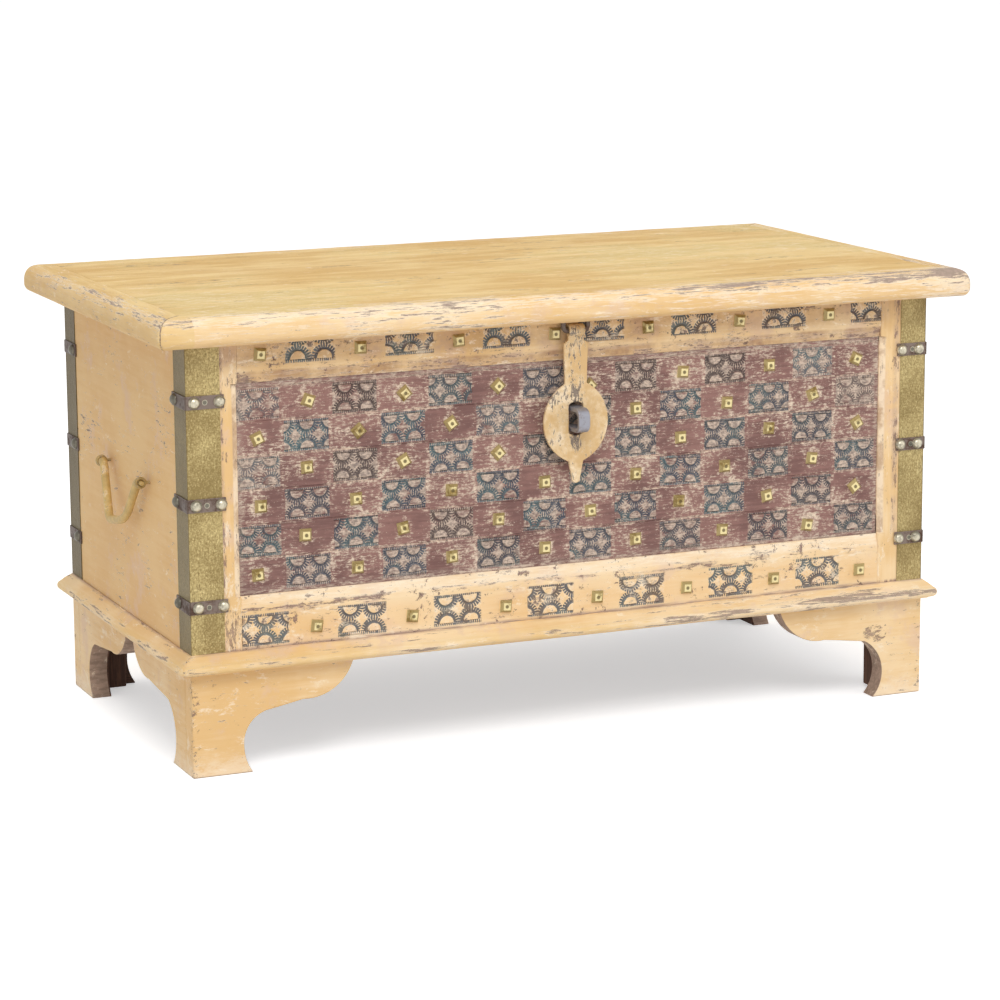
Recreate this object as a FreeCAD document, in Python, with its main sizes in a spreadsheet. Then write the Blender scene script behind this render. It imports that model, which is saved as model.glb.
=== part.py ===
"""A painted wooden trunk on bracket feet: framed front, carved panel, brass corners, iron bands.

Millimetres, +Z up, the front faces -Y. The origin is on the floor under the middle of the trunk.
"""
import FreeCAD, Part
import Sketcher
import math
import os
import re

doc = FreeCAD.newDocument("trunk")

# Driving sizes, one named cell each
SIZES = [
    ("body_width", 918, "wooden box, left to right"),
    ("body_depth", 456, "wooden box, front to back"),
    ("carcass_height", 367, "from the top of the feet to the lid"),
    ("foot_height", 117, "from the floor to the box"),
    ("lid_thick", 33, "lid boards and edging"),
    ("lid_side_overhang", 41, "lid beyond the box, left and right"),
    ("lid_end_overhang", 39, "lid beyond the box, front and back"),
    ("lid_edge_width", 34, "edging strip round the lid"),
    ("lid_edge_round", 18, "rounding of the edging, above"),
    ("lid_edge_under", 10, "rounding of the edging, below"),
    ("batten_width", 44, "batten under the lid"),
    ("batten_thick", 18, "batten under the lid"),
    ("batten_spacing", 500, "between the two battens"),
    ("batten_setback", 22, "batten end to the inside of the box"),
    ("frame_thick", 24, "front stiles and rails"),
    ("stile_width", 59, "front stiles"),
    ("stile_bevel", 9, "width of the bevel beside the panel"),
    ("top_rail_height", 47, "front top rail"),
    ("top_rail_bevel", 16, "bevel above the panel"),
    ("bottom_rail_height", 83, "front bottom rail, down to the feet"),
    ("bottom_rail_bevel", 17, "sill below the panel"),
    ("tenon_length", 24, "rail tenon in the stile"),
    ("tenon_thick", 8, "rail tenon"),
    ("panel_recess", 6, "panel face behind the frame face"),
    ("panel_lip", 1.5, "frame edge in front of the panel face"),
    ("panel_tongue", 8, "thickness of the panel's tongue"),
    ("panel_groove", 7, "depth of the tongue in the frame"),
    ("panel_thick", 14, "panel"),
    ("side_thick", 22, "side boards"),
    ("back_thick", 20, "back planks"),
    ("back_split", 190, "height of the lower back plank"),
    ("floor_thick", 14, "bottom planks"),
    ("cleat_height", 16, "cleats under the bottom planks"),
    ("cleat_width", 20, "cleats under the bottom planks"),
    ("moulding_height", 23, "base moulding"),
    ("moulding_body", 15, "base moulding, wall to the start of the nose"),
    ("moulding_nose", 5.2, "radius of the moulding's nose"),
    ("foot_thick", 24, "bracket boards"),
    ("foot_proud", 1.5, "feet beyond the box, each side"),
    ("left_foot_toe", 70, "left face brackets at the floor, from the corner"),
    ("left_foot_neck", 60, "left face brackets at their narrowest"),
    ("left_foot_neck_height", 34, "height of the narrowest place"),
    ("left_foot_arch_run", 91, "end of the arch over the left throats, from the corner"),
    ("left_foot_arch_height", 69.5, "height of that end"),
    ("left_foot_heel", 54, "curve of the left throats below the narrowest place"),
    ("left_foot_arch", 36, "curve of the left throats above it"),
    ("foot_toe", 65, "front bracket at the floor"),
    ("foot_throat", 44, "radius of the concave cut"),
    ("foot_shoulder", 70, "height at the end of the concave cut"),
    ("foot_shoulder_run", 76.5, "corner to the end of the concave cut, front"),
    ("foot_tip", 60, "run of the end curve, front"),
    ("foot_knee", 77, "height at the start of the end curve"),
    ("foot_reach", 191, "length of a front bracket"),
    ("foot_curve", 56, "radius of the end curve"),
    ("side_foot_toe", 74, "side bracket at the floor"),
    ("side_foot_shoulder_run", 87, "corner to the end of the concave cut, side"),
    ("side_foot_tip", 61, "run of the end curve, side"),
    ("side_foot_gap", 22, "between the two brackets of a side"),
    ("block_side", 26, "square block inside each foot"),
    ("brass_thick", 1, "corner sheet"),
    ("brass_leg", 39.5, "corner sheet, each leg"),
    ("brass_leg_right", 33.5, "corner sheet, front and back legs on the right"),
    ("band_thick", 1.2, "iron corner band"),
    ("band_past", 4.5, "iron corner band beyond the brass"),
    ("band_height", 15, "iron corner band"),
    ("band_low", 192.5, "centre of the lowest band above the floor"),
    ("band_high", 64, "centre of the highest band below the lid"),
    ("rivet_radius", 6.8, "domed rivet head"),
    ("rivet_rise", 5.2, "domed rivet head"),
    ("rivet_near", 8.5, "first rivet from the corner"),
    ("rivet_inset", 5.5, "last rivet from the end of the band"),
    ("rivet_side", 33, "rivet on the side from the corner"),
    ("stud_side", 14, "square stud"),
    ("stud_flat", 8.5, "flat top of the stud"),
    ("stud_rim", 1.2, "straight edge of the stud"),
    ("stud_rise", 4.8, "stud above the wood"),
    ("nail_radius", 1.2, "shank of studs and rivets"),
    ("nail_length", 10, "shank of studs and rivets"),
    ("grid_over", 1.8, "carved cells beyond the opening, each side"),
    ("grid_shift", -3.4, "middle of the carved cells from the trunk's middle"),
    ("grid_top", 5.4, "opening's top to the first row of cells"),
    ("grid_low", 2.2, "last row of cells to the opening's bottom"),
    ("panel_columns", 14, "carved cells across the panel"),
    ("panel_rows", 6, "carved cells up the panel"),
    ("rail_stud_count", 7, "studs on each rail"),
    ("top_stud_first", 26.5, "left end of the top rail to its first stud"),
    ("top_stud_last", 70.6, "right end of the top rail to its last stud"),
    ("low_stud_first", 87.2, "left end of the bottom rail to its first stud"),
    ("low_stud_last", 25.2, "right end of the bottom rail to its last stud"),
    ("rail_stud_high", 16, "top rail studs below the lid"),
    ("rail_stud_low", 159, "bottom rail studs above the floor"),
    ("hasp_thick", 4, "hasp plate"),
    ("hasp_clear", 1.5, "rolled eye to the frame face"),
    ("hasp_headroom", 5, "rolled eye to the lid"),
    ("hasp_eye", 7, "outer radius of the rolled eye"),
    ("hasp_eye_half", 9.5, "half length of the rolled eye"),
    ("hanger_radius", 3, "wire of the hanger staple"),
    ("hanger_play", 0.5, "rolled eye to the bend of the hanger"),
    ("hanger_bite", 16, "hanger legs in the lid"),
    ("hasp_strap", 15, "half width of the strap at the top"),
    ("hasp_neck", 13.5, "half width of the strap above the plate"),
    ("hasp_neck_drop", 61, "pivot to the neck"),
    ("hasp_round", 49, "radius of the plate's sides"),
    ("hasp_waist_drop", 150, "pivot to the root of the tail"),
    ("hasp_waist", 9, "half width at the root of the tail"),
    ("hasp_tail_drop", 172, "pivot to the end of the tail's straight"),
    ("hasp_tail", 4.6, "half width of the tail"),
    ("slot_play", 2, "staple to the slot, each side"),
    ("slot_spare", 2, "slot's straight sides beyond the staple"),
    ("staple_drop", 101, "hasp pivot to the middle of the staple"),
    ("staple_height", 28, "staple loop"),
    ("staple_width", 14, "staple bar, across"),
    ("staple_bar", 5, "staple bar, thickness"),
    ("staple_reach", 34, "staple in front of the frame face"),
    ("staple_round", 11, "outer rounding of the staple"),
    ("handle_height", 309.5, "handle pivot above the floor"),
    ("handle_shift", -16, "handle middle from the middle of the side"),
    ("handle_span", 150, "between the eyes"),
    ("handle_standoff", 11, "handle pivot to the side"),
    ("handle_drop", 60, "pivot to the back corner of the grip"),
    ("handle_tilt", 10, "grip's front corner above its back corner"),
    ("handle_grip", 58, "grip, from corner to corner"),
    ("handle_set", 5, "grip's middle, towards the front from the handle's middle"),
    ("handle_rod", 4.8, "radius of the handle rod"),
    ("handle_pin", 2.6, "radius of the rod's ends in the eyes"),
    ("handle_lean", 7, "degrees that the bail hangs away from the side"),
    ("handle_bend", 9, "bend at each eye, to the rod's middle"),
    ("handle_curl", 14, "bend at the grip's back corner"),
    ("handle_sweep", 45, "bend at the grip's front corner"),
    ("eye_play", 0.5, "rod's end to the eye"),
    ("eye_wire", 1.9, "radius of the eye's wire"),
    ("eye_shank", 16, "eye shank in the side"),
    ("hinge_spacing", 560, "between the two hinges"),
    ("hinge_length", 76, "hinge"),
    ("leaf_thick", 2, "hinge leaf"),
    ("knuckle_radius", 5, "hinge knuckle"),
    ("knuckle_gap", 0.5, "knuckle to the wood"),
    ("pin_radius", 2, "hinge pin"),
    ("pin_play", 0.1, "hinge pin to its bore"),
    ("knuckle_middle", 30, "length of the middle knuckle"),
    ("knuckle_play", 0.4, "between knuckles"),
    ("screw_head", 3.2, "radius of a screw head"),
    ("screw_shank", 1.6, "radius of a screw shank"),
    ("screw_length", 14, "screw in the wood"),
]
sheet = doc.addObject("Spreadsheet::Sheet", "sizes")
for row, (alias, value, note) in enumerate(SIZES, start=1):
    sheet.set("A%d" % row, alias.replace("_", " "))
    sheet.set("B%d" % row, str(value))
    sheet.set("C%d" % row, note)
    sheet.setAlias("B%d" % row, alias)
doc.recompute()
ALIASES = {alias for alias, value, note in SIZES}


def cells(formula):
    """Point each named size in a formula at its cell."""
    return re.sub(r"[a-z_]+[a-z]", lambda m: "sizes." + m[0] if m[0] in ALIASES else m[0], str(formula))


def number(formula):
    """The present value of a formula."""
    return float(sheet.evalExpression(cells(formula)))


def bind(obj, **formulas):
    """Drive properties of an object from the sheet."""
    for name, formula in formulas.items():
        obj.setExpression(name, cells(formula))
    return obj


def put(obj, x="0", y="0", z="0"):
    """Drive an object's position from the sheet, leaving its turn alone."""
    for axis, formula in zip("xyz", (x, y, z)):
        obj.setExpression("Placement.Base." + axis, cells(formula))
    return obj


def turn(obj, axis, degrees):
    obj.Placement = FreeCAD.Placement(FreeCAD.Vector(), FreeCAD.Rotation(FreeCAD.Vector(*axis), degrees))
    return obj


# Formulas used by several pieces
HALF_W = "(body_width / 2)"
HALF_D = "(body_depth / 2)"
TOP = "(foot_height + carcass_height)"
OPEN_TOP = "(%s - top_rail_height)" % TOP
OPEN_LOW = "(foot_height + bottom_rail_height)"
OPEN_HALF = "(%s - stile_width)" % HALF_W
OPEN_MID = "((%s + %s) / 2)" % (OPEN_TOP, OPEN_LOW)
OPEN_HIGH = "(%s - %s)" % (OPEN_TOP, OPEN_LOW)
PANEL_FACE = "(-%s + panel_recess)" % HALF_D
INSIDE_FRONT = "(-%s + frame_thick)" % HALF_D
INSIDE_BACK = "(%s - back_thick)" % HALF_D
INSIDE_HALF = "(%s - side_thick)" % HALF_W
INSIDE_DEPTH = "(body_depth - frame_thick - back_thick)"
INSIDE_MID = "((frame_thick - back_thick) / 2)"
FLOOR_LOW = "(foot_height + cleat_height)"
LID_HALF_L = "(%s + lid_side_overhang)" % HALF_W
LID_HALF_D = "(%s + lid_end_overhang)" % HALF_D
FIELD_HALF_L = "(%s - lid_edge_width)" % LID_HALF_L
FIELD_HALF_D = "(%s - lid_edge_width)" % LID_HALF_D
HINGE_Y = "(%s + brass_thick + knuckle_gap + knuckle_radius)" % HALF_D
HASP_Y = "(-%s - hasp_eye - hasp_clear)" % HALF_D
HASP_Z = "(%s - hasp_headroom - hasp_eye)" % TOP
FOOT_KNEE_RUN = "(foot_reach - foot_tip)"
FOOT_HALF_W = "(%s + foot_proud)" % HALF_W
FOOT_HALF_D = "(%s + foot_proud)" % HALF_D
SIDE_FOOT_REACH = "(%s - side_foot_gap / 2)" % FOOT_HALF_D
SIDE_FOOT_KNEE_RUN = "(%s - side_foot_tip)" % SIDE_FOOT_REACH
BAND_PITCH = "((%s - band_high - band_low) / 2)" % TOP
HANGER_BEND = "(hanger_radius + 2)"
HANGER_HALF = "(hasp_eye_half + %s + hanger_play)" % HANGER_BEND
SLOT_HALF = "(staple_width / 2 + slot_play)"
EYE_RING = "(handle_pin + eye_play + eye_wire)"


def box(name, size, middle_low):
    """A board: three sizes and the middle of its underside, all formulas."""
    obj = doc.addObject("Part::Box", name)
    length, width, height = size
    bind(obj, Length=length, Width=width, Height=height)
    x, y, z = middle_low
    return put(obj, "%s - (%s) / 2" % (x, length), "%s - (%s) / 2" % (y, width), z)


def rod(name, radius, length, axis, start):
    """A round bar along X, Y or Z from its start point."""
    obj = doc.addObject("Part::Cylinder", name)
    bind(obj, Radius=radius, Height=length)
    if axis == "x":
        turn(obj, (0, 1, 0), 90)
    if axis == "y":
        turn(obj, (1, 0, 0), -90)
    return put(obj, *start)


def joined(name, *objs):
    obj = doc.addObject("Part::MultiFuse", name)
    obj.Shapes = list(objs)
    obj.Refine = True
    return obj


def cut(name, base, *tools):
    obj = doc.addObject("Part::Cut", name)
    obj.Base = base
    obj.Tool = tools[0] if len(tools) == 1 else joined(name + "_tools", *tools)
    return obj


def group(name, *objs):
    obj = doc.addObject("Part::Compound", name)
    obj.Links = list(objs)
    return obj


def bulge(start, end, radius, side):
    """The middle point of an arc that leans to the left (+1) or right (-1) of its chord."""
    chord = end - start
    normal = FreeCAD.Vector(-chord.y, chord.x, 0).normalize()
    centre = (start + end) / 2 - normal * side * math.sqrt(max(radius ** 2 - (chord.Length / 2) ** 2, 0))
    return centre + normal * side * radius


def draw(sketch, points, arcs, closed=True):
    """Lines and arcs through points; every point and radius is driven by a formula."""
    spots = [FreeCAD.Vector(number(u), number(v), 0) for u, v in points]
    last = len(points) if closed else len(points) - 1
    ends = []
    for i in range(last):
        a = spots[i]
        b = spots[(i + 1) % len(spots)]
        if i in arcs:
            radius, side = arcs[i]
            geo = sketch.addGeometry(Part.Arc(a, bulge(a, b, number(radius), side), b), False)
        else:
            geo = sketch.addGeometry(Part.LineSegment(a, b), False)
        first = sketch.getPoint(geo, 1)
        forward = (first - a).Length <= (first - b).Length
        ends.append((geo, 1, 2) if forward else (geo, 2, 1))
    for i in range(last if closed else last - 1):
        geo, start, end = ends[i]
        after, after_start, after_end = ends[(i + 1) % last]
        sketch.addConstraint(Sketcher.Constraint("Coincident", geo, end, after, after_start))
    for i in range(len(points)):
        geo, start, end = ends[i] if i < last else ends[-1]
        pos = start if i < last else end
        across = ("DistanceX", points[i][0], spots[i].x)
        upward = ("DistanceY", points[i][1], spots[i].y)
        for kind, formula, value in (across, upward):
            made = sketch.addConstraint(Sketcher.Constraint(kind, -1, 1, geo, pos, value))
            sketch.setExpression("Constraints[%d]" % made, cells(formula))
    for i, (radius, side) in arcs.items():
        made = sketch.addConstraint(Sketcher.Constraint("Radius", ends[i][0], number(radius)))
        sketch.setExpression("Constraints[%d]" % made, cells(radius))


PLANES = {
    "xy": FreeCAD.Rotation(),
    "xz": FreeCAD.Rotation(FreeCAD.Vector(1, 0, 0), 90),
    "yz": FreeCAD.Rotation(FreeCAD.Vector(1, 1, 1), 120),
}


def profile(name, plane, points, length, arcs=None, holes=(), both_ways=False):
    """A body padded from an outline drawn on one of the main planes."""
    body = doc.addObject("PartDesign::Body", name)
    sketch = body.newObject("Sketcher::SketchObject", name + "_outline")
    sketch.Placement = FreeCAD.Placement(FreeCAD.Vector(), PLANES[plane])
    draw(sketch, points, arcs or {})
    doc.recompute()
    pad = body.newObject("PartDesign::Pad", name + "_pad")
    pad.Profile = sketch
    pad.Midplane = both_ways
    bind(pad, Length=length)
    for index, (hole, hole_arcs) in enumerate(holes):
        inner = body.newObject("Sketcher::SketchObject", "%s_hole_%d" % (name, index))
        inner.Placement = FreeCAD.Placement(FreeCAD.Vector(), PLANES[plane])
        draw(inner, hole, hole_arcs)
        doc.recompute()
        pocket = body.newObject("PartDesign::Pocket", "%s_pocket_%d" % (name, index))
        pocket.Profile = inner
        pocket.Midplane = True
        bind(pocket, Length="4 * (%s)" % length)
    doc.recompute()
    return body


def wire_path(name, plane, points, arcs):
    """An open sketch used as the middle line of a bent rod."""
    sketch = doc.addObject("Sketcher::SketchObject", name)
    sketch.Placement = FreeCAD.Placement(FreeCAD.Vector(), PLANES[plane])
    draw(sketch, points, arcs, closed=False)
    return sketch


def rounded(corners, radii):
    """A path's points with each inner corner turned into an arc, and those arcs, all as formulas."""
    points = [corners[0]]
    arcs = {}
    for i, radius in enumerate(radii, 1):
        (u0, v0), (u1, v1), (u2, v2) = corners[i - 1:i + 2]
        before = "sqrt((%s - (%s)) ^ 2 + (%s - (%s)) ^ 2)" % (u0, u1, v0, v1)
        after = "sqrt((%s - (%s)) ^ 2 + (%s - (%s)) ^ 2)" % (u2, u1, v2, v1)
        back = ("((%s - (%s)) / %s)" % (u0, u1, before), "((%s - (%s)) / %s)" % (v0, v1, before))
        on = ("((%s - (%s)) / %s)" % (u2, u1, after), "((%s - (%s)) / %s)" % (v2, v1, after))
        turn_cos = "(%s * %s + %s * %s)" % (back[0], on[0], back[1], on[1])
        run = "(%s * sqrt((1 + %s) / (1 - %s)))" % (radius, turn_cos, turn_cos)
        left = number("%s * %s - %s * %s" % (back[0], on[1], back[1], on[0])) < 0
        arcs[len(points)] = (radius, -1 if left else 1)
        for way in (back, on):
            points.append(("%s + %s * %s" % (u1, way[0], run), "%s + %s * %s" % (v1, way[1], run)))
    points.append(corners[-1])
    return points, arcs


def bent_rod(name, path, edges, radius, start, axis):
    """A round rod swept along a path."""
    ring = doc.addObject("Part::Circle", name + "_section")
    bind(ring, Radius=radius)
    if axis == "y":
        turn(ring, (1, 0, 0), 90)
    put(ring, *start)
    obj = doc.addObject("Part::Sweep", name)
    obj.Sections = [ring]
    obj.Spine = (path, ["Edge%d" % (i + 1) for i in range(edges)])
    obj.Solid = True
    obj.Frenet = True
    return obj


NODES = []


def node(obj, label):
    """Hand a finished piece over under its own name."""
    obj.Label = label
    NODES.append(obj)
    return obj


# Front frame: two stiles, two rails with tenons, one panel held in a groove
RAIL_SPAN = "(2 * %s)" % OPEN_HALF
GROOVE_FRONT = PANEL_FACE
GROOVE_BACK = "(%s + panel_tongue)" % PANEL_FACE
LIP = "(%s - panel_lip)" % PANEL_FACE
TENON_Y = "(-%s + frame_thick - tenon_thick / 2 - 4)" % HALF_D

top_rail = profile("top_rail", "yz", [
    ("-" + HALF_D, TOP),
    ("-" + HALF_D, "%s + top_rail_bevel" % OPEN_TOP),
    (LIP, OPEN_TOP),
    (GROOVE_FRONT, OPEN_TOP),
    (GROOVE_FRONT, "%s + panel_groove" % OPEN_TOP),
    (GROOVE_BACK, "%s + panel_groove" % OPEN_TOP),
    (GROOVE_BACK, OPEN_TOP),
    (INSIDE_FRONT, OPEN_TOP),
    (INSIDE_FRONT, TOP),
], RAIL_SPAN, both_ways=True)
bottom_rail = profile("bottom_rail", "yz", [
    ("-" + HALF_D, "foot_height"),
    (INSIDE_FRONT, "foot_height"),
    (INSIDE_FRONT, OPEN_LOW),
    (GROOVE_BACK, OPEN_LOW),
    (GROOVE_BACK, "%s - panel_groove" % OPEN_LOW),
    (GROOVE_FRONT, "%s - panel_groove" % OPEN_LOW),
    (GROOVE_FRONT, OPEN_LOW),
    (LIP, OPEN_LOW),
    ("-" + HALF_D, "%s - bottom_rail_bevel" % OPEN_LOW),
], RAIL_SPAN, both_ways=True)


def tenons(name, side):
    """The two tenons that enter one stile, top and bottom."""
    x = "%d * (%s + tenon_length / 2)" % (side, OPEN_HALF)
    upper = box(name + "_upper", ("tenon_length", "tenon_thick", "top_rail_height - 2 * panel_groove - 8"),
                (x, TENON_Y, "%s + panel_groove + 4" % OPEN_TOP))
    lower = box(name + "_lower",
                ("tenon_length", "tenon_thick", "bottom_rail_height - 2 * panel_groove - 16"),
                (x, TENON_Y, "foot_height + 12"))
    return upper, lower


left_upper, left_lower = tenons("left_tenon", -1)
right_upper, right_lower = tenons("right_tenon", 1)
node(joined("front_top_rail", top_rail, left_upper, right_upper), "front_top_rail")
node(joined("front_bottom_rail", bottom_rail, left_lower, right_lower), "front_bottom_rail")

for side, word in ((-1, "left"), (1, "right")):
    blank = box(word + "_stile_blank", ("stile_width", "frame_thick", "carcass_height"),
                ("%d * (%s - stile_width / 2)" % (side, HALF_W), INSIDE_FRONT + " - frame_thick / 2",
                 "foot_height"))
    groove = box(word + "_stile_groove",
                 ("2 * panel_groove", "panel_tongue", OPEN_HIGH + " + 2 * panel_groove"),
                 ("%d * %s" % (side, OPEN_HALF), GROOVE_FRONT + " + panel_tongue / 2",
                  OPEN_LOW + " - panel_groove"))
    edge = "%d * %s" % (side, OPEN_HALF)
    face = "-%s - 1" % HALF_D
    bevel = profile(word + "_stile_bevel_cut", "xy", [
        ("%s - %d" % (edge, side), face),
        ("%s + %d * stile_bevel" % (edge, side), face),
        ("%s + %d * stile_bevel" % (edge, side), "-" + HALF_D),
        (edge, LIP),
        ("%s - %d" % (edge, side), LIP),
    ], OPEN_HIGH)
    put(bevel, "0", "0", OPEN_LOW)
    mortises = tenons(word + "_mortise", side)
    node(cut("front_%s_stile" % word, blank, groove, bevel, *mortises), "front_%s_stile" % word)

tongue = box("panel_tongue_board", ("2 * (%s + panel_groove)" % OPEN_HALF, "panel_tongue",
                                    OPEN_HIGH + " + 2 * panel_groove"),
             ("0", GROOVE_FRONT + " + panel_tongue / 2", OPEN_LOW + " - panel_groove"))
field = box("panel_back", ("2 * %s - 1" % OPEN_HALF, "panel_thick - panel_tongue", OPEN_HIGH + " - 1"),
            ("0", GROOVE_BACK + " + (panel_thick - panel_tongue) / 2", OPEN_LOW + " + 0.5"))
STAPLE_MID = "(%s - staple_drop)" % HASP_Z
STAPLE_ARM = "((staple_height - staple_bar) / 2)"
arm_holes = []
for sign, word in ((1, "upper"), (-1, "lower")):
    arm_holes.append(box("panel_hole_" + word, ("staple_width + 0.4", "4 * panel_thick", "staple_bar + 0.4"),
                         ("0", PANEL_FACE,
                          "%s + %d * %s - staple_bar / 2 - 0.2" % (STAPLE_MID, sign, STAPLE_ARM))))
node(cut("front_panel", joined("panel_board", tongue, field), *arm_holes), "front_panel")

# Sides, back and bottom
for side, word in ((-1, "left"), (1, "right")):
    node(box(word + "_side_board", ("side_thick", INSIDE_DEPTH, "carcass_height"),
             ("%d * (%s - side_thick / 2)" % (side, HALF_W), INSIDE_MID, "foot_height")),
         word + "_side_board")
BACK_MID = "(%s - back_thick / 2)" % HALF_D
node(box("back_plank_lower", ("body_width", "back_thick", "back_split"), ("0", BACK_MID, "foot_height")),
     "back_plank_lower")
upper_back = box("upper_back", ("body_width", "back_thick", "carcass_height - back_split"),
                 ("0", BACK_MID, "foot_height + back_split"))
leaf_beds = []
for side, word in ((-1, "left"), (1, "right")):
    leaf_beds.append(box("leaf_bed_" + word, ("hinge_length", "back_thick + 2", "leaf_thick + 1"),
                         ("%d * hinge_spacing / 2" % side, BACK_MID + " + 1", TOP + " - leaf_thick")))
node(cut("back_plank_upper", upper_back, *leaf_beds), "back_plank_upper")

third = "(%s / 3)" % INSIDE_DEPTH
for step, word in ((-1, "front"), (0, "middle"), (1, "back")):
    node(box("bottom_plank_" + word, ("2 * " + INSIDE_HALF, third, "floor_thick"),
             ("0", "%s + %d * %s" % (INSIDE_MID, step, third), FLOOR_LOW)), "bottom_plank_" + word)
cleats = []
for side, word in ((-1, "left"), (1, "right")):
    cleats.append(box("cleat_" + word, ("cleat_width", INSIDE_DEPTH, "cleat_height"),
                      ("%d * (%s - cleat_width / 2)" % (side, INSIDE_HALF), INSIDE_MID, "foot_height")))
long_cleat = "2 * (%s - cleat_width)" % INSIDE_HALF
cleats.append(box("cleat_front", (long_cleat, "cleat_width", "cleat_height"),
                  ("0", INSIDE_FRONT + " + cleat_width / 2", "foot_height")))
cleats.append(box("cleat_back", (long_cleat, "cleat_width", "cleat_height"),
                  ("0", INSIDE_BACK + " - cleat_width / 2", "foot_height")))
node(group("bottom_cleats", *cleats), "bottom_cleats")


def mitred(name, points, arcs, half_length, reach, low, high):
    """A strip with a profile and mitred ends, lying along X with its back at y = 0."""
    strip = profile(name + "_strip", "yz", points, "2 * (%s + %s) + 2" % (half_length, reach), arcs,
                    both_ways=True)
    ends = doc.addObject("Part::Wedge", name + "_mitres")
    bind(ends, Ymin="-(%s)" % reach, Ymax="0", Zmin=low, Z2min=low, Zmax=high, Z2max=high)
    bind(ends, Xmin="-(%s + %s)" % (half_length, reach), Xmax="%s + %s" % (half_length, reach))
    bind(ends, X2min="-(%s)" % half_length, X2max=half_length)
    obj = doc.addObject("Part::MultiCommon", name)
    obj.Shapes = [strip, ends]
    return obj


AROUND = (("front", 0), ("right", 90), ("back", 180), ("left", -90))


def around(word, half_x, half_y):
    """Where the strip on one side of a rectangle belongs."""
    return {"front": ("0", "-" + half_y), "back": ("0", half_y),
            "left": ("-" + half_x, "0"), "right": (half_x, "0")}[word]


# Base moulding over the joint between the box and the feet
MOULD_TOP = "(foot_height + moulding_height)"
moulding_points = [
    ("0", MOULD_TOP),
    ("-2", MOULD_TOP),
    ("-moulding_body", "foot_height + 13"),
    ("-moulding_body", "foot_height + 3"),
    ("-9", "foot_height + 1.5"),
    ("-8", "foot_height"),
    ("0", "foot_height"),
]
for word, degrees in AROUND:
    run = HALF_W if word in ("front", "back") else HALF_D
    strip = mitred("base_moulding_" + word, moulding_points, {2: ("moulding_nose", -1)},
                   run, "(moulding_body + moulding_nose)", "foot_height", MOULD_TOP)
    turn(strip, (0, 0, 1), degrees)
    put(strip, *around(word, HALF_W, HALF_D))
    node(strip, "base_moulding_" + word)

# Bracket feet: a face bracket and a side bracket at each corner, with a block behind
blocks = []
for sx, left_right in ((-1, "left"), (1, "right")):
    for sy, front_back in ((-1, "front"), (1, "back")):
        corner = "%s_%s" % (front_back, left_right)

        def at(run):
            return "%d * (%s - (%s))" % (sx, FOOT_HALF_W, run)

        def deep(run):
            return "%d * (%s - (%s))" % (sy, FOOT_HALF_D, run)

        # The left face brackets are rounded where the right ones have a corner
        if sx < 0:
            throat = [(at("left_foot_toe"), "0"), (at("left_foot_neck"), "left_foot_neck_height"),
                      (at("left_foot_arch_run"), "left_foot_arch_height")]
            arcs = {1: ("left_foot_heel", -sx), 2: ("left_foot_arch", -sx), 4: ("foot_curve", sx)}
        else:
            throat = [(at("foot_toe"), "0"), (at("foot_shoulder_run"), "foot_shoulder")]
            arcs = {1: ("foot_throat", -sx), 3: ("foot_curve", sx)}
        face = profile(corner + "_foot_face_board", "xz", [
            (at("0"), "0"), *throat, (at(FOOT_KNEE_RUN), "foot_knee"), (at("foot_reach"), "foot_height"),
            (at("0"), "foot_height"),
        ], "foot_thick", arcs)
        put(face, "0", "-%s + foot_thick" % FOOT_HALF_D if sy < 0 else FOOT_HALF_D, "0")
        node(face, corner + "_foot_face")
        flank = profile(corner + "_foot_side_board", "yz", [
            (deep("foot_thick"), "0"), (deep("side_foot_toe"), "0"),
            (deep("side_foot_shoulder_run"), "foot_shoulder"), (deep(SIDE_FOOT_KNEE_RUN), "foot_knee"),
            (deep(SIDE_FOOT_REACH), "foot_height"), (deep("foot_thick"), "foot_height"),
        ], "foot_thick", {1: ("foot_throat", -sy), 3: ("foot_curve", sy)})
        put(flank, "-" + FOOT_HALF_W if sx < 0 else FOOT_HALF_W + " - foot_thick", "0", "0")
        node(flank, corner + "_foot_side")
        blocks.append(box(corner + "_block", ("block_side", "block_side", "foot_height - 4"),
                          (at("foot_thick + block_side / 2"), deep("foot_thick + block_side / 2"), "4")))
node(group("foot_corner_blocks", *blocks), "foot_corner_blocks")

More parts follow.
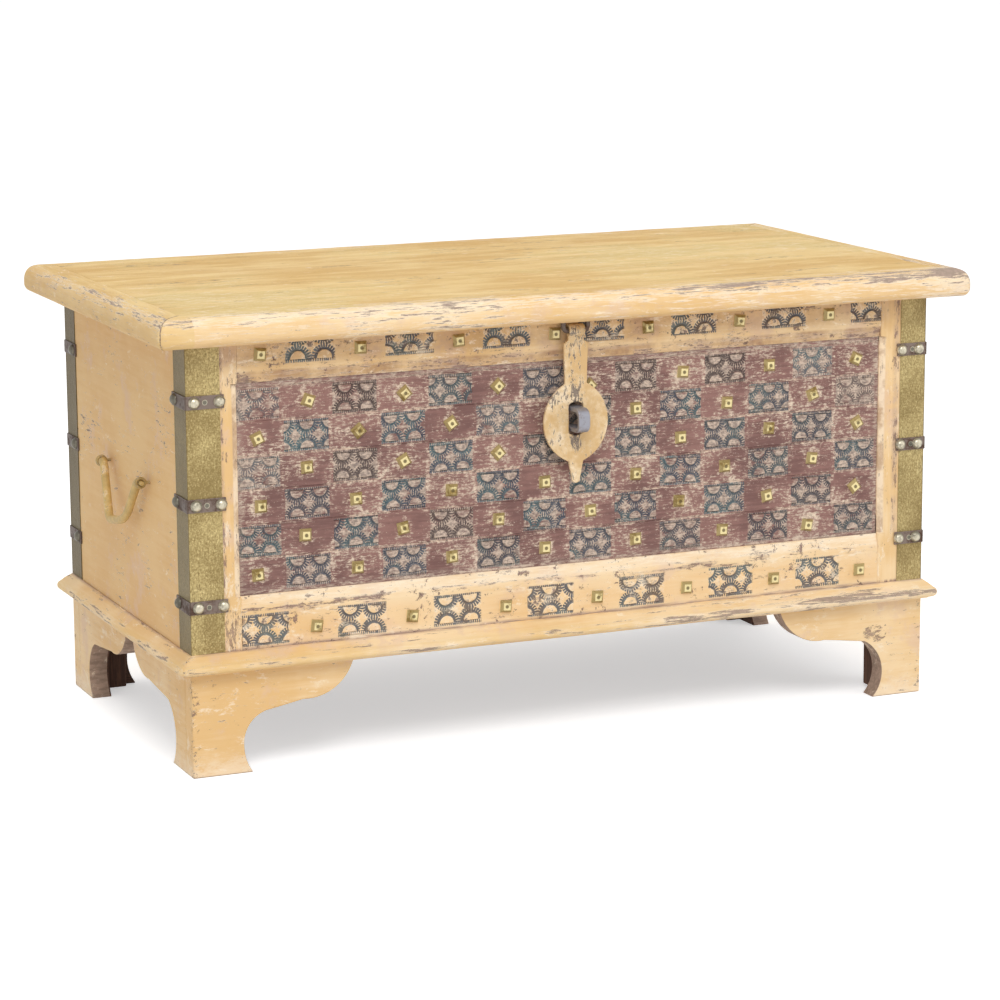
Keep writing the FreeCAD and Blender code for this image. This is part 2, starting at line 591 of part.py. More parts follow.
# Brass corner sheets, iron bands over them
for sx, left_right in ((-1, "left"), (1, "right")):
    for sy, front_back in ((-1, "front"), (1, "back")):
        corner = "%s_%s" % (front_back, left_right)

        def px(out):
            return "%d * (%s + (%s))" % (sx, HALF_W, out)

        def py(out):
            return "%d * (%s + (%s))" % (sy, HALF_D, out)

        leg = "brass_leg" if sx < 0 else "brass_leg_right"
        front_leg = "brass_thick - " + leg
        side_leg = "brass_thick - brass_leg"
        angle = profile("brass_sheet_" + corner, "xy", [
            (px("brass_thick"), py("brass_thick")), (px(front_leg), py("brass_thick")),
            (px(front_leg), py("0")),
            (px("0"), py("0")), (px("0"), py(side_leg)), (px("brass_thick"), py(side_leg)),
        ], "carcass_height - moulding_height - 0.5")
        put(angle, "0", "0", MOULD_TOP)
        node(angle, "brass_corner_" + corner)
        outer = "brass_thick + band_thick"
        front_end = front_leg + " - band_past"
        side_end = side_leg + " - band_past"
        front_step = front_leg + " - 0.3"
        side_step = side_leg + " - 0.3"
        bands = []
        for level in range(3):
            band = profile("band_%s_%d" % (corner, level), "xy", [
                (px(outer), py(outer)), (px(front_end), py(outer)), (px(front_end), py("0")),
                (px(front_step), py("0")),
                (px(front_step), py("brass_thick")), (px("brass_thick"), py("brass_thick")),
                (px("brass_thick"), py(side_step)),
                (px("0"), py(side_step)), (px("0"), py(side_end)), (px(outer), py(side_end)),
            ], "band_height")
            put(band, "0", "0", "band_low + %d * %s - band_height / 2" % (level, BAND_PITCH))
            bands.append(band)
        node(group("corner_bands_" + corner, *bands), "corner_bands_" + corner)

# Domed rivets on the bands: one pattern rivet, placed by the sheet's sizes
dome_radius = "((rivet_radius ^ 2 + rivet_rise ^ 2) / (2 * rivet_rise))"
dome = bind(doc.addObject("Part::Sphere", "rivet_dome"), Radius=dome_radius,
            Angle1="asin((%s - rivet_rise) / %s)" % (dome_radius, dome_radius))
put(dome, "0", "0", "rivet_rise - %s" % dome_radius)
rivet = joined("rivet_pattern", dome, rod("rivet_nail", "nail_radius", "nail_length + 1", "z",
                                         ("0", "0", "-nail_length")))

# Square studs with a bevelled top and a small dimple
stud_plinth = box("stud_plinth", ("stud_side", "stud_side", "stud_rim"), ("0", "0", "0"))
stud_top = doc.addObject("Part::Wedge", "stud_top")
bind(stud_top, Xmin="-stud_side / 2", Zmin="-stud_side / 2", Xmax="stud_side / 2", Zmax="stud_side / 2",
     X2min="-stud_flat / 2", Z2min="-stud_flat / 2", X2max="stud_flat / 2", Z2max="stud_flat / 2",
     Ymin="stud_rim", Ymax="stud_rise")
turn(stud_top, (1, 0, 0), 90)
dimple = bind(doc.addObject("Part::Cone", "stud_dimple"), Radius1="0", Radius2="stud_flat / 3", Height="0.9")
put(dimple, "0", "0", "stud_rise - 0.8")
stud_nail = rod("stud_nail", "nail_radius", "nail_length + 1", "z", ("0", "0", "-nail_length"))
stud = cut("stud_pattern", joined("stud_head", stud_plinth, stud_top, stud_nail), dimple)
doc.recompute()


def scatter(name, pattern, places):
    """Copies of a pattern piece, one solid for each placement."""
    obj = doc.addObject("Part::Feature", name)
    copies = []
    for place in places:
        shape = pattern.Shape.Solids[0].copy()
        shape.Placement = place
        copies.append(shape)
    obj.Shape = Part.makeCompound(copies)
    return obj


def facing(x, y, z, outward, spin=0.0):
    """A placement whose local +Z points outward, spun about that axis."""
    lean = FreeCAD.Rotation(FreeCAD.Vector(0, 0, 1), FreeCAD.Vector(*outward))
    return FreeCAD.Placement(FreeCAD.Vector(x, y, z), lean * FreeCAD.Rotation(FreeCAD.Vector(0, 0, 1), spin))


half_w = number(HALF_W)
half_d = number(HALF_D)
skin = number("brass_thick + band_thick")
rivet_places = []
for sx in (-1, 1):
    for sy in (-1, 1):
        for level in range(3):
            height = number("band_low + %d * %s" % (level, BAND_PITCH))
            leg = "brass_leg" if sx < 0 else "brass_leg_right"
            for run in (number("rivet_near"), number(leg + " - brass_thick + band_past - rivet_inset")):
                rivet_places.append(facing(sx * (half_w - run), sy * (half_d + skin), height, (0, sy, 0)))
            run = number("rivet_side")
            rivet_places.append(facing(sx * (half_w + skin), sy * (half_d - run), height, (sx, 0, 0)))
node(scatter("band_rivets", rivet, rivet_places), "band_rivets")

columns = int(number("panel_columns"))
rows = int(number("panel_rows"))
cell_w = number("2 * (%s + grid_over) / panel_columns" % OPEN_HALF)
cell_h = number("(%s - grid_top - grid_low) / panel_rows" % OPEN_HIGH)
grid_left = number("grid_shift - %s - grid_over" % OPEN_HALF)
grid_high = number("%s - grid_top" % OPEN_TOP)
# The hasp covers two cells in the middle, which have no stud
bare = {(1, columns // 2 - 1), (2, columns // 2)}
# Studs that were driven askew, by row and column, in degrees; the others are nearly upright
TURNED = {
    (0, 1): -22, (0, 3): 38, (0, 5): 45, (0, 7): 45, (0, 13): -25,
    (1, 0): 22, (1, 2): 38, (1, 4): 33, (1, 12): 20,
    (2, 3): 28, (2, 5): 40, (2, 13): 30,
    (3, 12): -8, (4, 3): 10, (4, 11): 10, (4, 13): 35, (5, 12): -10,
}
# Studs that sit off the middle of their cell, in millimetres across and up
ASTRAY = {
    (0, 1): (2.6, 0), (0, 3): (1.6, 0), (0, 7): (-1, -7.6), (0, 9): (2.6, 0), (1, 2): (3.9, 0),
    (1, 10): (2.4, -2), (2, 1): (0, 2), (2, 11): (0, 1.9), (2, 13): (2.3, 0), (3, 0): (2.9, 0.7),
    (4, 1): (-3.2, 2.4), (4, 3): (-1.6, 0), (4, 9): (-1.9, 1.7), (4, 11): (-1.8, -1.7), (5, 0): (-2, 0.5),
    (5, 2): (0.9, -1.5), (5, 10): (-2.9, 0.7), (5, 12): (-5.3, -3.2),
}
panel_places = []
for row in range(rows):
    for column in range(columns):
        if (row + column) % 2 == 0 or (row, column) in bare:
            continue
        aside, above = ASTRAY.get((row, column), (0, 0))
        x = grid_left + cell_w * (column + 0.5) + aside
        z = grid_high - cell_h * (row + 0.5) + above
        spin = TURNED.get((row, column), (7 * row + 11 * column) % 9 - 4)
        panel_places.append(facing(x, number(PANEL_FACE), z, (0, -1, 0), spin))
node(scatter("panel_studs", stud, panel_places), "panel_studs")

rail_places = []
count = int(number("rail_stud_count"))
rail_left = -number(OPEN_HALF)
top_pitch = number("(2 * %s - top_stud_first - top_stud_last) / (rail_stud_count - 1)" % OPEN_HALF)
low_pitch = number("(2 * %s - low_stud_first - low_stud_last) / (rail_stud_count - 1)" % OPEN_HALF)
for i in range(count):
    x = rail_left + number("top_stud_first") + i * top_pitch
    rail_places.append(facing(x, -half_d, number(TOP + " - rail_stud_high"), (0, -1, 0), (17 * i) % 12 - 6))
    x = rail_left + number("low_stud_first") + i * low_pitch
    rail_places.append(facing(x, -half_d, number("rail_stud_low"), (0, -1, 0), (29 * i) % 14 - 7))
node(scatter("rail_studs", stud, rail_places), "rail_studs")

# Lid: three planks inside a mitred rounded edging, two battens below
edge_points = [
    ("0", TOP),
    ("-lid_edge_width + lid_edge_under", TOP),
    ("-lid_edge_width", TOP + " + lid_edge_under"),
    ("-lid_edge_width", TOP + " + lid_thick - lid_edge_round"),
    ("-lid_edge_width + lid_edge_round", TOP + " + lid_thick"),
    ("0", TOP + " + lid_thick"),
]
knuckle_beds = []
for side, word in ((-1, "left"), (1, "right")):
    middle = "%d * hinge_spacing / 2" % side
    knuckle_beds.append((
        box("lid_leaf_bed_" + word, ("hinge_length", "60", "leaf_thick"),
            (middle, HINGE_Y + " - 30", TOP)),
        box("lid_knuckle_bed_" + word,
            ("hinge_length + 2", "2 * knuckle_radius + 1.2", "knuckle_radius + 1.5"),
            (middle, HINGE_Y, TOP + " - 0.9")),
    ))
leaf_reach = box("leaf_reach", ("2 * body_width", "back_thick + brass_thick + knuckle_gap + knuckle_radius",
                                "3 * leaf_thick"),
                 ("0", "%s + (back_thick + brass_thick + knuckle_gap + knuckle_radius) / 2" % INSIDE_BACK,
                  TOP + " - leaf_thick"))
trimmed_beds = []
for leaf_bed, knuckle_bed in knuckle_beds:
    short = doc.addObject("Part::MultiCommon", leaf_bed.Name + "_short")
    short.Shapes = [leaf_bed, leaf_reach]
    trimmed_beds.append(joined(leaf_bed.Name + "_cut", short, knuckle_bed))
for word, degrees in AROUND:
    run = FIELD_HALF_L if word in ("front", "back") else FIELD_HALF_D
    name = "lid_edge_" + word
    strip = mitred(name if word != "back" else name + "_blank", edge_points,
                   {1: ("lid_edge_under", 1), 3: ("lid_edge_round", 1)},
                   run, "lid_edge_width", TOP, TOP + " + lid_thick")
    turn(strip, (0, 0, 1), degrees)
    put(strip, *around(word, FIELD_HALF_L, FIELD_HALF_D))
    node(cut(name, strip, *trimmed_beds) if word == "back" else strip, name)
plank = "(2 * %s / 3)" % FIELD_HALF_D
for step, word in ((-1, "front"), (0, "middle"), (1, "back")):
    name = "lid_plank_" + word
    board = box(name if step < 1 else name + "_blank", ("2 * " + FIELD_HALF_L, plank, "lid_thick"),
                ("0", "%d * %s" % (step, plank), TOP))
    node(cut(name, board, *trimmed_beds) if step == 1 else board, name)
for side, word in ((-1, "left"), (1, "right")):
    node(box("lid_batten_" + word, ("batten_width", INSIDE_DEPTH + " - 2 * batten_setback", "batten_thick"),
             ("%d * batten_spacing / 2" % side, INSIDE_MID, TOP + " - batten_thick")), "lid_batten_" + word)

# Hinges: leaves let into the back and the lid, knuckles outside, one pin each
OUTER_KNUCKLE = "((hinge_length - knuckle_middle) / 2 - knuckle_play)"
LEAF_BACK = "(%s - knuckle_radius - knuckle_gap)" % HINGE_Y
screws_low = []
screws_high = []
pins = []
for side, word in ((-1, "left"), (1, "right")):
    middle = "(%d * hinge_spacing / 2)" % side

    def leaf(name, low, spans):
        """One leaf: a plate in the wood and the knuckles at the given middles and lengths."""
        plate = box(name + "_plate", ("hinge_length", "%s - %s" % (LEAF_BACK, INSIDE_BACK), "leaf_thick"),
                    (middle, "(%s + %s) / 2" % (LEAF_BACK, INSIDE_BACK), low))
        pieces = [plate]
        for index, (x, length) in enumerate(spans):
            start = "%s + %s - %s / 2" % (middle, x, length)
            pieces.append(rod("%s_knuckle_%d" % (name, index), "knuckle_radius", length, "x",
                              (start, HINGE_Y, TOP)))
            web = (length, "%s - %s + 1" % (HINGE_Y, LEAF_BACK), "leaf_thick")
            pieces.append(box("%s_web_%d" % (name, index), web,
                              ("%s + %s" % (middle, x), "(%s + %s - 1) / 2" % (HINGE_Y, LEAF_BACK), low)))
        bore = rod(name + "_bore", "pin_radius + pin_play", "hinge_length + 20", "x",
                   (middle + " - hinge_length / 2 - 10", HINGE_Y, TOP))
        holes = []
        for index in (-1, 0, 1):
            holes.append(rod("%s_hole_%d" % (name, index + 1), "screw_head", "leaf_thick + 2", "z",
                             ("%s + %d * hinge_length / 3" % (middle, index), BACK_MID, low + " - 1")))
        return cut(name, joined(name + "_whole", *pieces), bore, *holes)

    offset = "(knuckle_middle / 2 + knuckle_play + %s / 2)" % OUTER_KNUCKLE
    outer = [("-" + offset, OUTER_KNUCKLE), (offset, OUTER_KNUCKLE)]
    node(leaf("hinge_lower_" + word, TOP + " - leaf_thick", outer),
         "hinge_lower_leaf_" + word)
    node(leaf("hinge_upper_" + word, TOP, [("0", "knuckle_middle")]), "hinge_upper_leaf_" + word)
    pins.append(rod("hinge_pin_" + word, "pin_radius", "hinge_length", "x",
                    (middle + " - hinge_length / 2", HINGE_Y, TOP)))
    for index in (-1, 0, 1):
        x = "%s + %d * hinge_length / 3" % (middle, index)
        name = "%s_%d" % (word, index + 1)
        low_head = rod("low_head_" + name, "screw_head - 0.05", "leaf_thick - 0.2", "z",
                       (x, BACK_MID, TOP + " - leaf_thick"))
        low_shank = rod("low_shank_" + name, "screw_shank", "screw_length + 1", "z",
                        (x, BACK_MID, TOP + " - leaf_thick - screw_length"))
        screws_low.append(joined("low_screw_" + name, low_head, low_shank))
        high_head = rod("high_head_" + name, "screw_head - 0.05", "leaf_thick - 0.2", "z",
                        (x, BACK_MID, TOP + " + 0.2"))
        high_shank = rod("high_shank_" + name, "screw_shank", "screw_length + 1", "z",
                         (x, BACK_MID, TOP + " + leaf_thick - 1"))
        screws_high.append(joined("high_screw_" + name, high_head, high_shank))
node(group("hinge_pins", *pins), "hinge_pins")
node(group("hinge_screws_body", *screws_low), "hinge_screws_body")
node(group("hinge_screws_lid", *screws_high), "hinge_screws_lid")

# Hasp: a flat plate with a slot, hung from a wire staple under the lid
plate_points = [
    ("-hasp_eye_half", HASP_Z),
    ("-hasp_eye_half", HASP_Z + " - 11"),
    ("-hasp_strap", HASP_Z + " - 15"),
    ("-hasp_neck", HASP_Z + " - hasp_neck_drop"),
    ("-hasp_waist", HASP_Z + " - hasp_waist_drop"),
    ("-hasp_tail", HASP_Z + " - hasp_tail_drop"),
    ("hasp_tail", HASP_Z + " - hasp_tail_drop"),
    ("hasp_waist", HASP_Z + " - hasp_waist_drop"),
    ("hasp_neck", HASP_Z + " - hasp_neck_drop"),
    ("hasp_strap", HASP_Z + " - 15"),
    ("hasp_eye_half", HASP_Z + " - 11"),
    ("hasp_eye_half", HASP_Z),
]
slot_points = [
    ("-" + SLOT_HALF, STAPLE_MID + " + staple_height / 2 + slot_spare"),
    ("-" + SLOT_HALF, STAPLE_MID + " - staple_height / 2 - slot_spare"),
    (SLOT_HALF, STAPLE_MID + " - staple_height / 2 - slot_spare"),
    (SLOT_HALF, STAPLE_MID + " + staple_height / 2 + slot_spare"),
]
round_end = (SLOT_HALF + " * 1.6", -1)
hasp_plate = profile("hasp_plate", "xz", plate_points, "hasp_thick", {
    3: ("hasp_round", -1), 5: ("hasp_tail * 1.05", -1), 7: ("hasp_round", -1)},
    holes=[(slot_points, {1: round_end, 3: round_end})], both_ways=True)
put(hasp_plate, "0", HASP_Y, "0")
hasp_roll = rod("hasp_roll", "hasp_eye", "2 * hasp_eye_half", "x", ("-hasp_eye_half", HASP_Y, HASP_Z))
hasp_bore = rod("hasp_bore", "hanger_radius + 0.4", "4 * hasp_eye_half", "x",
                ("-2 * hasp_eye_half", HASP_Y, HASP_Z))
node(cut("hasp", joined("hasp_whole", hasp_plate, hasp_roll), hasp_bore), "hasp")

hanger_path = wire_path("hanger_path", "xz", [
    ("-" + HANGER_HALF, TOP + " + hanger_bite"),
    ("-" + HANGER_HALF, HASP_Z + " + " + HANGER_BEND),
    ("-%s + %s" % (HANGER_HALF, HANGER_BEND), HASP_Z),
    ("%s - %s" % (HANGER_HALF, HANGER_BEND), HASP_Z),
    (HANGER_HALF, HASP_Z + " + " + HANGER_BEND),
    (HANGER_HALF, TOP + " + hanger_bite"),
], {1: (HANGER_BEND, -1), 3: (HANGER_BEND, -1)})
put(hanger_path, "0", HASP_Y, "0")
doc.recompute()
node(bent_rod("hasp_hanger", hanger_path, 5, "hanger_radius",
              ("-" + HANGER_HALF, HASP_Y, TOP + " + hanger_bite"), "z"), "hasp_hanger")

# Staple through the front panel, a flat bar bent into a loop
NOSE = "(-%s - staple_reach)" % HALF_D
ROOT = "(%s + panel_thick + 6)" % PANEL_FACE
HIGH = "(%s + staple_height / 2)" % STAPLE_MID
LOW = "(%s - staple_height / 2)" % STAPLE_MID
INNER = "(staple_round - staple_bar)"
node(profile("front_staple", "yz", [
    (ROOT, HIGH), (NOSE + " + staple_round", HIGH), (NOSE, HIGH + " - staple_round"),
    (NOSE, LOW + " + staple_round"), (NOSE + " + staple_round", LOW), (ROOT, LOW),
    (ROOT, LOW + " + staple_bar"), (NOSE + " + staple_round", LOW + " + staple_bar"),
    (NOSE + " + staple_bar", LOW + " + staple_round"), (NOSE + " + staple_bar", HIGH + " - staple_round"),
    (NOSE + " + staple_round", HIGH + " - staple_bar"), (ROOT, HIGH + " - staple_bar"),
], "staple_width", {1: ("staple_round", -1), 3: ("staple_round", -1), 7: (INNER, 1), 9: (INNER, 1)},
    both_ways=True), "front_staple")

# Carrying handles: a bent rod swinging in two eyes on each side
HANDLE_HALF = "(handle_span / 2)"
eyes = []
for side, word in ((-1, "left"), (1, "right")):
    axis_x = "%d * (%s + handle_standoff)" % (side, HALF_W)
    far = HANDLE_HALF + " + eye_wire + 5"
    near = HANDLE_HALF + " - eye_wire - 2"
    top = "(%s - 0.65 * handle_bend)" % near
    # The bail is drawn about its pivot, then leaned away from the side
    points, arcs = rounded([
        ("handle_shift + " + near, "0"),
        ("handle_shift + " + top, "0"),
        ("handle_shift - handle_set + handle_grip / 2", "-handle_drop"),
        ("handle_shift - handle_set - handle_grip / 2", "handle_tilt - handle_drop"),
        ("handle_shift - " + top, "0"),
        ("handle_shift - (%s)" % near, "0"),
    ], ("handle_bend", "handle_curl", "handle_sweep", "handle_bend"))
    path = wire_path(word + "_handle_path", "yz", points, arcs)
    lean = FreeCAD.Rotation(FreeCAD.Vector(0, 1, 0), -side * number("handle_lean"))
    path.Placement = FreeCAD.Placement(FreeCAD.Vector(), lean * PLANES["yz"])
    put(path, axis_x, "0", "handle_height")
    doc.recompute()
    bail = bent_rod(word + "_bail", path, len(points) - 1, "handle_rod",
                    (axis_x, "handle_shift + " + near, "handle_height"), "y")
    pin_length = "(%s - (%s) + 3)" % (far, near)
    back_pin = rod(word + "_pin_back", "handle_pin", pin_length, "y",
                   (axis_x, "handle_shift + %s - 3" % near, "handle_height"))
    front_pin = rod(word + "_pin_front", "handle_pin", pin_length, "y",
                    (axis_x, "handle_shift - (%s)" % far, "handle_height"))
    node(joined(word + "_handle", bail, back_pin, front_pin), word + "_handle")
    for sign in (-1, 1):
        name = "%s_eye_%s" % (word, "back" if sign > 0 else "front")
        ring = bind(doc.addObject("Part::Torus", name + "_ring"), Radius1=EYE_RING, Radius2="eye_wire")
        turn(ring, (1, 0, 0), 90)
        ring.Placement.Rotation = ring.Placement.Rotation * FreeCAD.Rotation(FreeCAD.Vector(0, 0, 1), 90)
        spot = "handle_shift + %d * %s" % (sign, HANDLE_HALF)
        put(ring, axis_x, spot, "handle_height")
        wall = "%d * (%s - eye_shank)" % (side, HALF_W)
        length = "(eye_shank + handle_standoff - %s)" % EYE_RING
        root = "%s - %s" % (wall, length) if side < 0 else wall
        shank = rod(name + "_shank", "eye_wire", length, "x", (root, spot, "handle_height"))
        eyes.append(joined(name, ring, shank))
node(group("handle_eyes", *eyes), "handle_eyes")

doc.recompute()

# Every object recomputed cleanly, every piece is a sound solid
for obj in doc.Objects:
    if "Invalid" in obj.State or "Error" in obj.State:
        raise RuntimeError("%s did not recompute: %s" % (obj.Name, obj.State))
os.makedirs("parts", exist_ok=True)
for obj in NODES:
    shape = obj.Shape
    if shape.isNull() or not shape.isValid() or not shape.Solids:
        raise RuntimeError(obj.Label + " is not a valid solid")
    shape.exportStep("parts/%s.step" % obj.Label)
print(len(NODES), "pieces")
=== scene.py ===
"""A painted wooden trunk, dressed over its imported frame."""
import math
import random
from collections import namedtuple

import bmesh
import bpy
from bpy.props import FloatProperty, FloatVectorProperty, IntProperty, PointerProperty
from mathutils import Matrix, Vector, noise


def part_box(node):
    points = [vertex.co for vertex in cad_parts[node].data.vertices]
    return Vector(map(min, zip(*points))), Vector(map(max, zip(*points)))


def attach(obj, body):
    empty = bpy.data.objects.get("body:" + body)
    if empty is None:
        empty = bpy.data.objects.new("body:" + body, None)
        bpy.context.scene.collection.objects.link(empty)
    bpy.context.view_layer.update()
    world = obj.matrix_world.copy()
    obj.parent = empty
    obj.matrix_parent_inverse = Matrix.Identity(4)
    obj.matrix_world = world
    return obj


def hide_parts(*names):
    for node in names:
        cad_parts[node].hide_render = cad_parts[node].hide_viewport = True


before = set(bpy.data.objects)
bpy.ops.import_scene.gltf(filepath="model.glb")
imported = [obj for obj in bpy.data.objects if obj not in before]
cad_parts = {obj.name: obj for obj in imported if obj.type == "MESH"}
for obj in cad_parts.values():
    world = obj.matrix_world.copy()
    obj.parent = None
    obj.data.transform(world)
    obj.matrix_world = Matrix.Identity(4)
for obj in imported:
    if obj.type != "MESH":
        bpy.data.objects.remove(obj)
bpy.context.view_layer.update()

bl_info = {
    "name": "Painted Trunk",
    "version": (1, 0, 0),
    "blender": (4, 5, 0),
    "location": "View3D > Sidebar > Trunk",
    "description": "Builds a carved and painted wooden trunk over its packed frame",
    "category": "Add Mesh",
}

MM = 0.001
SIDES = (("front", "x"), ("back", "x"), ("left", "y"), ("right", "y"))
CORNERS = (("front_left", -1, -1), ("front_right", 1, -1), ("back_left", -1, 1), ("back_right", 1, 1))

# Places read from the frame
PANEL_LOW, PANEL_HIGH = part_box("front_panel")
STILE_LOW, STILE_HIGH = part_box("front_left_stile")
SIDE_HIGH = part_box("left_side_board")[1]
FOOT_LOW, FOOT_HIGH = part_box("front_left_foot_face")
LID_LOW, LID_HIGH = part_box("lid_edge_front")
OPEN_HALF = -STILE_HIGH.x
OPEN_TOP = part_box("front_top_rail")[0].z
OPEN_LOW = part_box("front_bottom_rail")[1].z
BODY_HALF_W = -STILE_LOW.x
BODY_HALF_D = -STILE_LOW.y
BODY_TOP = STILE_HIGH.z
PANEL_FACE = PANEL_LOW.y
MOULD_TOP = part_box("base_moulding_front")[1].z
STAPLE_MIDDLE = sum(corner.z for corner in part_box("front_staple")) / 2

# Places of the wear: the sill's front edge, the brass legs' edges, and badly chipped spots on the
# front, each with its place across and up, its half width and its half height
SILL_EDGE = 183 * MM
BRASS_EDGE = 421 * MM
CHIPPED_KNEE = (398 * MM, 80 * MM, 19 * MM, 12 * MM)
CHIPPED_FRAME = (
    (-410 * MM, 163 * MM, 15 * MM, 24 * MM),
    (-OPEN_HALF, OPEN_TOP + 4 * MM, 17 * MM, 11 * MM),
)
CHIPPED_SLOT = (0.0, STAPLE_MIDDLE, 9 * MM, 33 * MM)
CHIPPED_PLATE = (0.0, STAPLE_MIDDLE - 25 * MM, 7 * MM, 15 * MM)
# Where a chipped spot starts to show and where it is full, 0 being its edge and 1 its middle
RAGGED = (-0.6, 0.8)
# The hasp's widest reach and its strap's foot, the back of the panel's bevels, the shade under the
# lid, the lid's worn left end, and the rear part of its top
HASP_REACH = 60 * MM
STRAP_LOW = STAPLE_MIDDLE + 25 * MM
LIP_BACK = STILE_HIGH.y - 8 * MM
LID_SHADE = (BODY_TOP - 46 * MM, BODY_TOP - 14 * MM)
LID_END = LID_LOW.x + 40 * MM
LID_REAR = (100 * MM, 220 * MM)


def srgb(red, green, blue):
    """A colour as it looks on screen, turned into the linear values that shaders use."""
    return tuple(c / 12.92 if c <= 0.04045 else ((c + 0.055) / 1.055) ** 2.4
                 for c in (red / 255, green / 255, blue / 255))


def colour(name, red, green, blue, description):
    return FloatVectorProperty(name=name, description=description, subtype="COLOR", size=3,
                               min=0, max=1, default=srgb(red, green, blue))


def length(name, millimetres, description):
    return FloatProperty(name=name, description=description, unit="LENGTH", default=millimetres * MM, min=0)


def count(name, number, least, description):
    return IntProperty(name=name, description=description, default=number, min=least)


class TrunkSizes(bpy.types.PropertyGroup):
    """Sizes of the carving and of the softened edges."""
    columns: count("Columns", 14, 2, "Carved cells across the panel")
    rows: count("Rows", 6, 1, "Carved cells up the panel")
    grid_over: length("Grid overhang", 1.8, "Carved cells beyond the opening, each side")
    grid_left: length("Grid shift", 3.4, "Middle of the carved cells, to the left of the trunk's middle")
    grid_top: length("Grid top", 5.4, "Opening's top to the first row of cells")
    grid_low: length("Grid foot", 2.2, "Last row of cells to the opening's bottom")
    motif_width: length("Motif width", 53.4, "Carved motif, across")
    motif_height: length("Motif height", 35.4, "Carved motif, up")
    rail_motif_width: length("Rail motif width", 59, "Motif on the rails, across")
    rail_motif_height: length("Rail motif height", 37, "Motif on the bottom rail, up")
    carve_depth: length("Carving depth", 2.2, "Depth of the carved grooves")
    motif_cuts: count("Motif detail", 58, 8, "Cuts across each carved motif")
    teeth: count("Teeth", 14, 3, "Teeth on each half ring of a motif")
    board_round: length("Board edges", 1.6, "Rounding of the wooden edges")
    metal_round: length("Metal edges", 0.5, "Rounding of the metal edges")
    wobble: length("Hand-made waviness", 0.45, "Unevenness of the wooden faces")
    stipple: length("Brass stipple", 0.5, "Depth of the embossing on the brass")
    lid_corner: length("Lid corners", 8, "Rounding of the lid's corners, seen from above")
    base_corner: length("Moulding corners", 12, "Rounding of the moulding's corners, seen from above")


class TrunkColours(bpy.types.PropertyGroup):
    """Colours of paint, wood and metal."""
    paint: colour("Paint", 241, 212, 168, "Yellow paint on the box and feet")
    paint_deep: colour("Deep paint", 228, 188, 130, "Paint where it is thick")
    amber: colour("Amber paint", 236, 184, 114, "Warmer paint on the bottom rail, between the motifs")
    side: colour("Side paint", 232, 195, 140, "Paint on the ends of the box")
    side_deep: colour("Deep side paint", 224, 181, 122, "Paint on the ends where it is thick")
    top: colour("Lid paint", 229, 198, 136, "Mustard paint on the lid's top")
    top_deep: colour("Deep lid paint", 208, 167, 98, "Lid paint along the grain")
    moss: colour("Lid moss", 204, 179, 112, "Greener paint along the lid's grain")
    cream: colour("Undercoat", 246, 228, 202, "Undercoat that shows where paint is rubbed")
    pink: colour("Primer", 222, 190, 170, "Pinkish primer round the chips")
    chip: colour("Chips", 98, 76, 74, "Old dark coat that shows in chips")
    sawn: colour("Sawn edges", 187, 158, 138, "Bare sawn edges of the brackets")
    stain: colour("Panel stain", 145, 108, 100, "Brown stain on the panel")
    stain_deep: colour("Deep stain", 115, 83, 78, "Stain in the hollows")
    dust: colour("Rubbed wood", 222, 200, 180, "Pale wood rubbed through the stain")
    ground: colour("Carved ground", 138, 126, 117, "Grey wood on the raised parts of the carving")
    # Umber also paints the shade on the top bevel and the shadow under the lid
    umber: colour("Umber", 190, 146, 108, "Brown dirt on the bevels")
    groove: colour("Groove", 66, 80, 96, "Blue-grey colour in the carved grooves")
    teal: colour("Groove glaze", 68, 104, 112, "Green-blue glaze in parts of the grooves")
    soot: colour("Groove dirt", 84, 72, 70, "Brown dirt in parts of the grooves")
    wood: colour("Bare wood", 112, 80, 62, "Bare wood inside and under the trunk")
    wood_deep: colour("Bare wood grain", 78, 54, 44, "Grain of the bare wood")
    # Deep brass also paints the shade on the brass legs round the box's ends
    brass: colour("Corner brass", 199, 178, 122, "Dull brass of the corner sheets")
    brass_deep: colour("Tarnish", 138, 117, 68, "Tarnish in the stipple")
    stud: colour("Stud brass", 226, 209, 154, "Brass of the studs")
    stud_deep: colour("Stud tarnish", 146, 122, 66, "Tarnish on the studs")
    band: colour("Band iron", 101, 88, 80, "Dark iron of the corner bands")
    rust: colour("Rust", 104, 78, 64, "Rust on the iron")
    rivet: colour("Rivet metal", 200, 192, 170, "Pale domed rivets")
    iron: colour("Forged iron", 150, 150, 158, "Grey iron of staple and eyes")
    ochre: colour("Handle paint", 210, 178, 112, "Ochre paint on the handles")
    steel: colour("Hinge steel", 142, 136, 126, "Dull steel of the hinges")
    floor: colour("Floor", 245, 245, 245, "Pale studio floor")


def sizes():
    return bpy.context.scene.trunk_sizes


def carved_grid():
    """The panel's cells: left end, top, and the width and height of each."""
    s = sizes()
    left = -s.grid_left - OPEN_HALF - s.grid_over
    top = OPEN_TOP - s.grid_top
    return left, top, 2 * (OPEN_HALF + s.grid_over) / s.columns, (top - OPEN_LOW - s.grid_low) / s.rows


def colours():
    return bpy.context.scene.trunk_colours


# Usual spread of a noise texture about its middle
SMOOTH_SPREAD = 0.066
ROUGH_SPREAD = 0.05


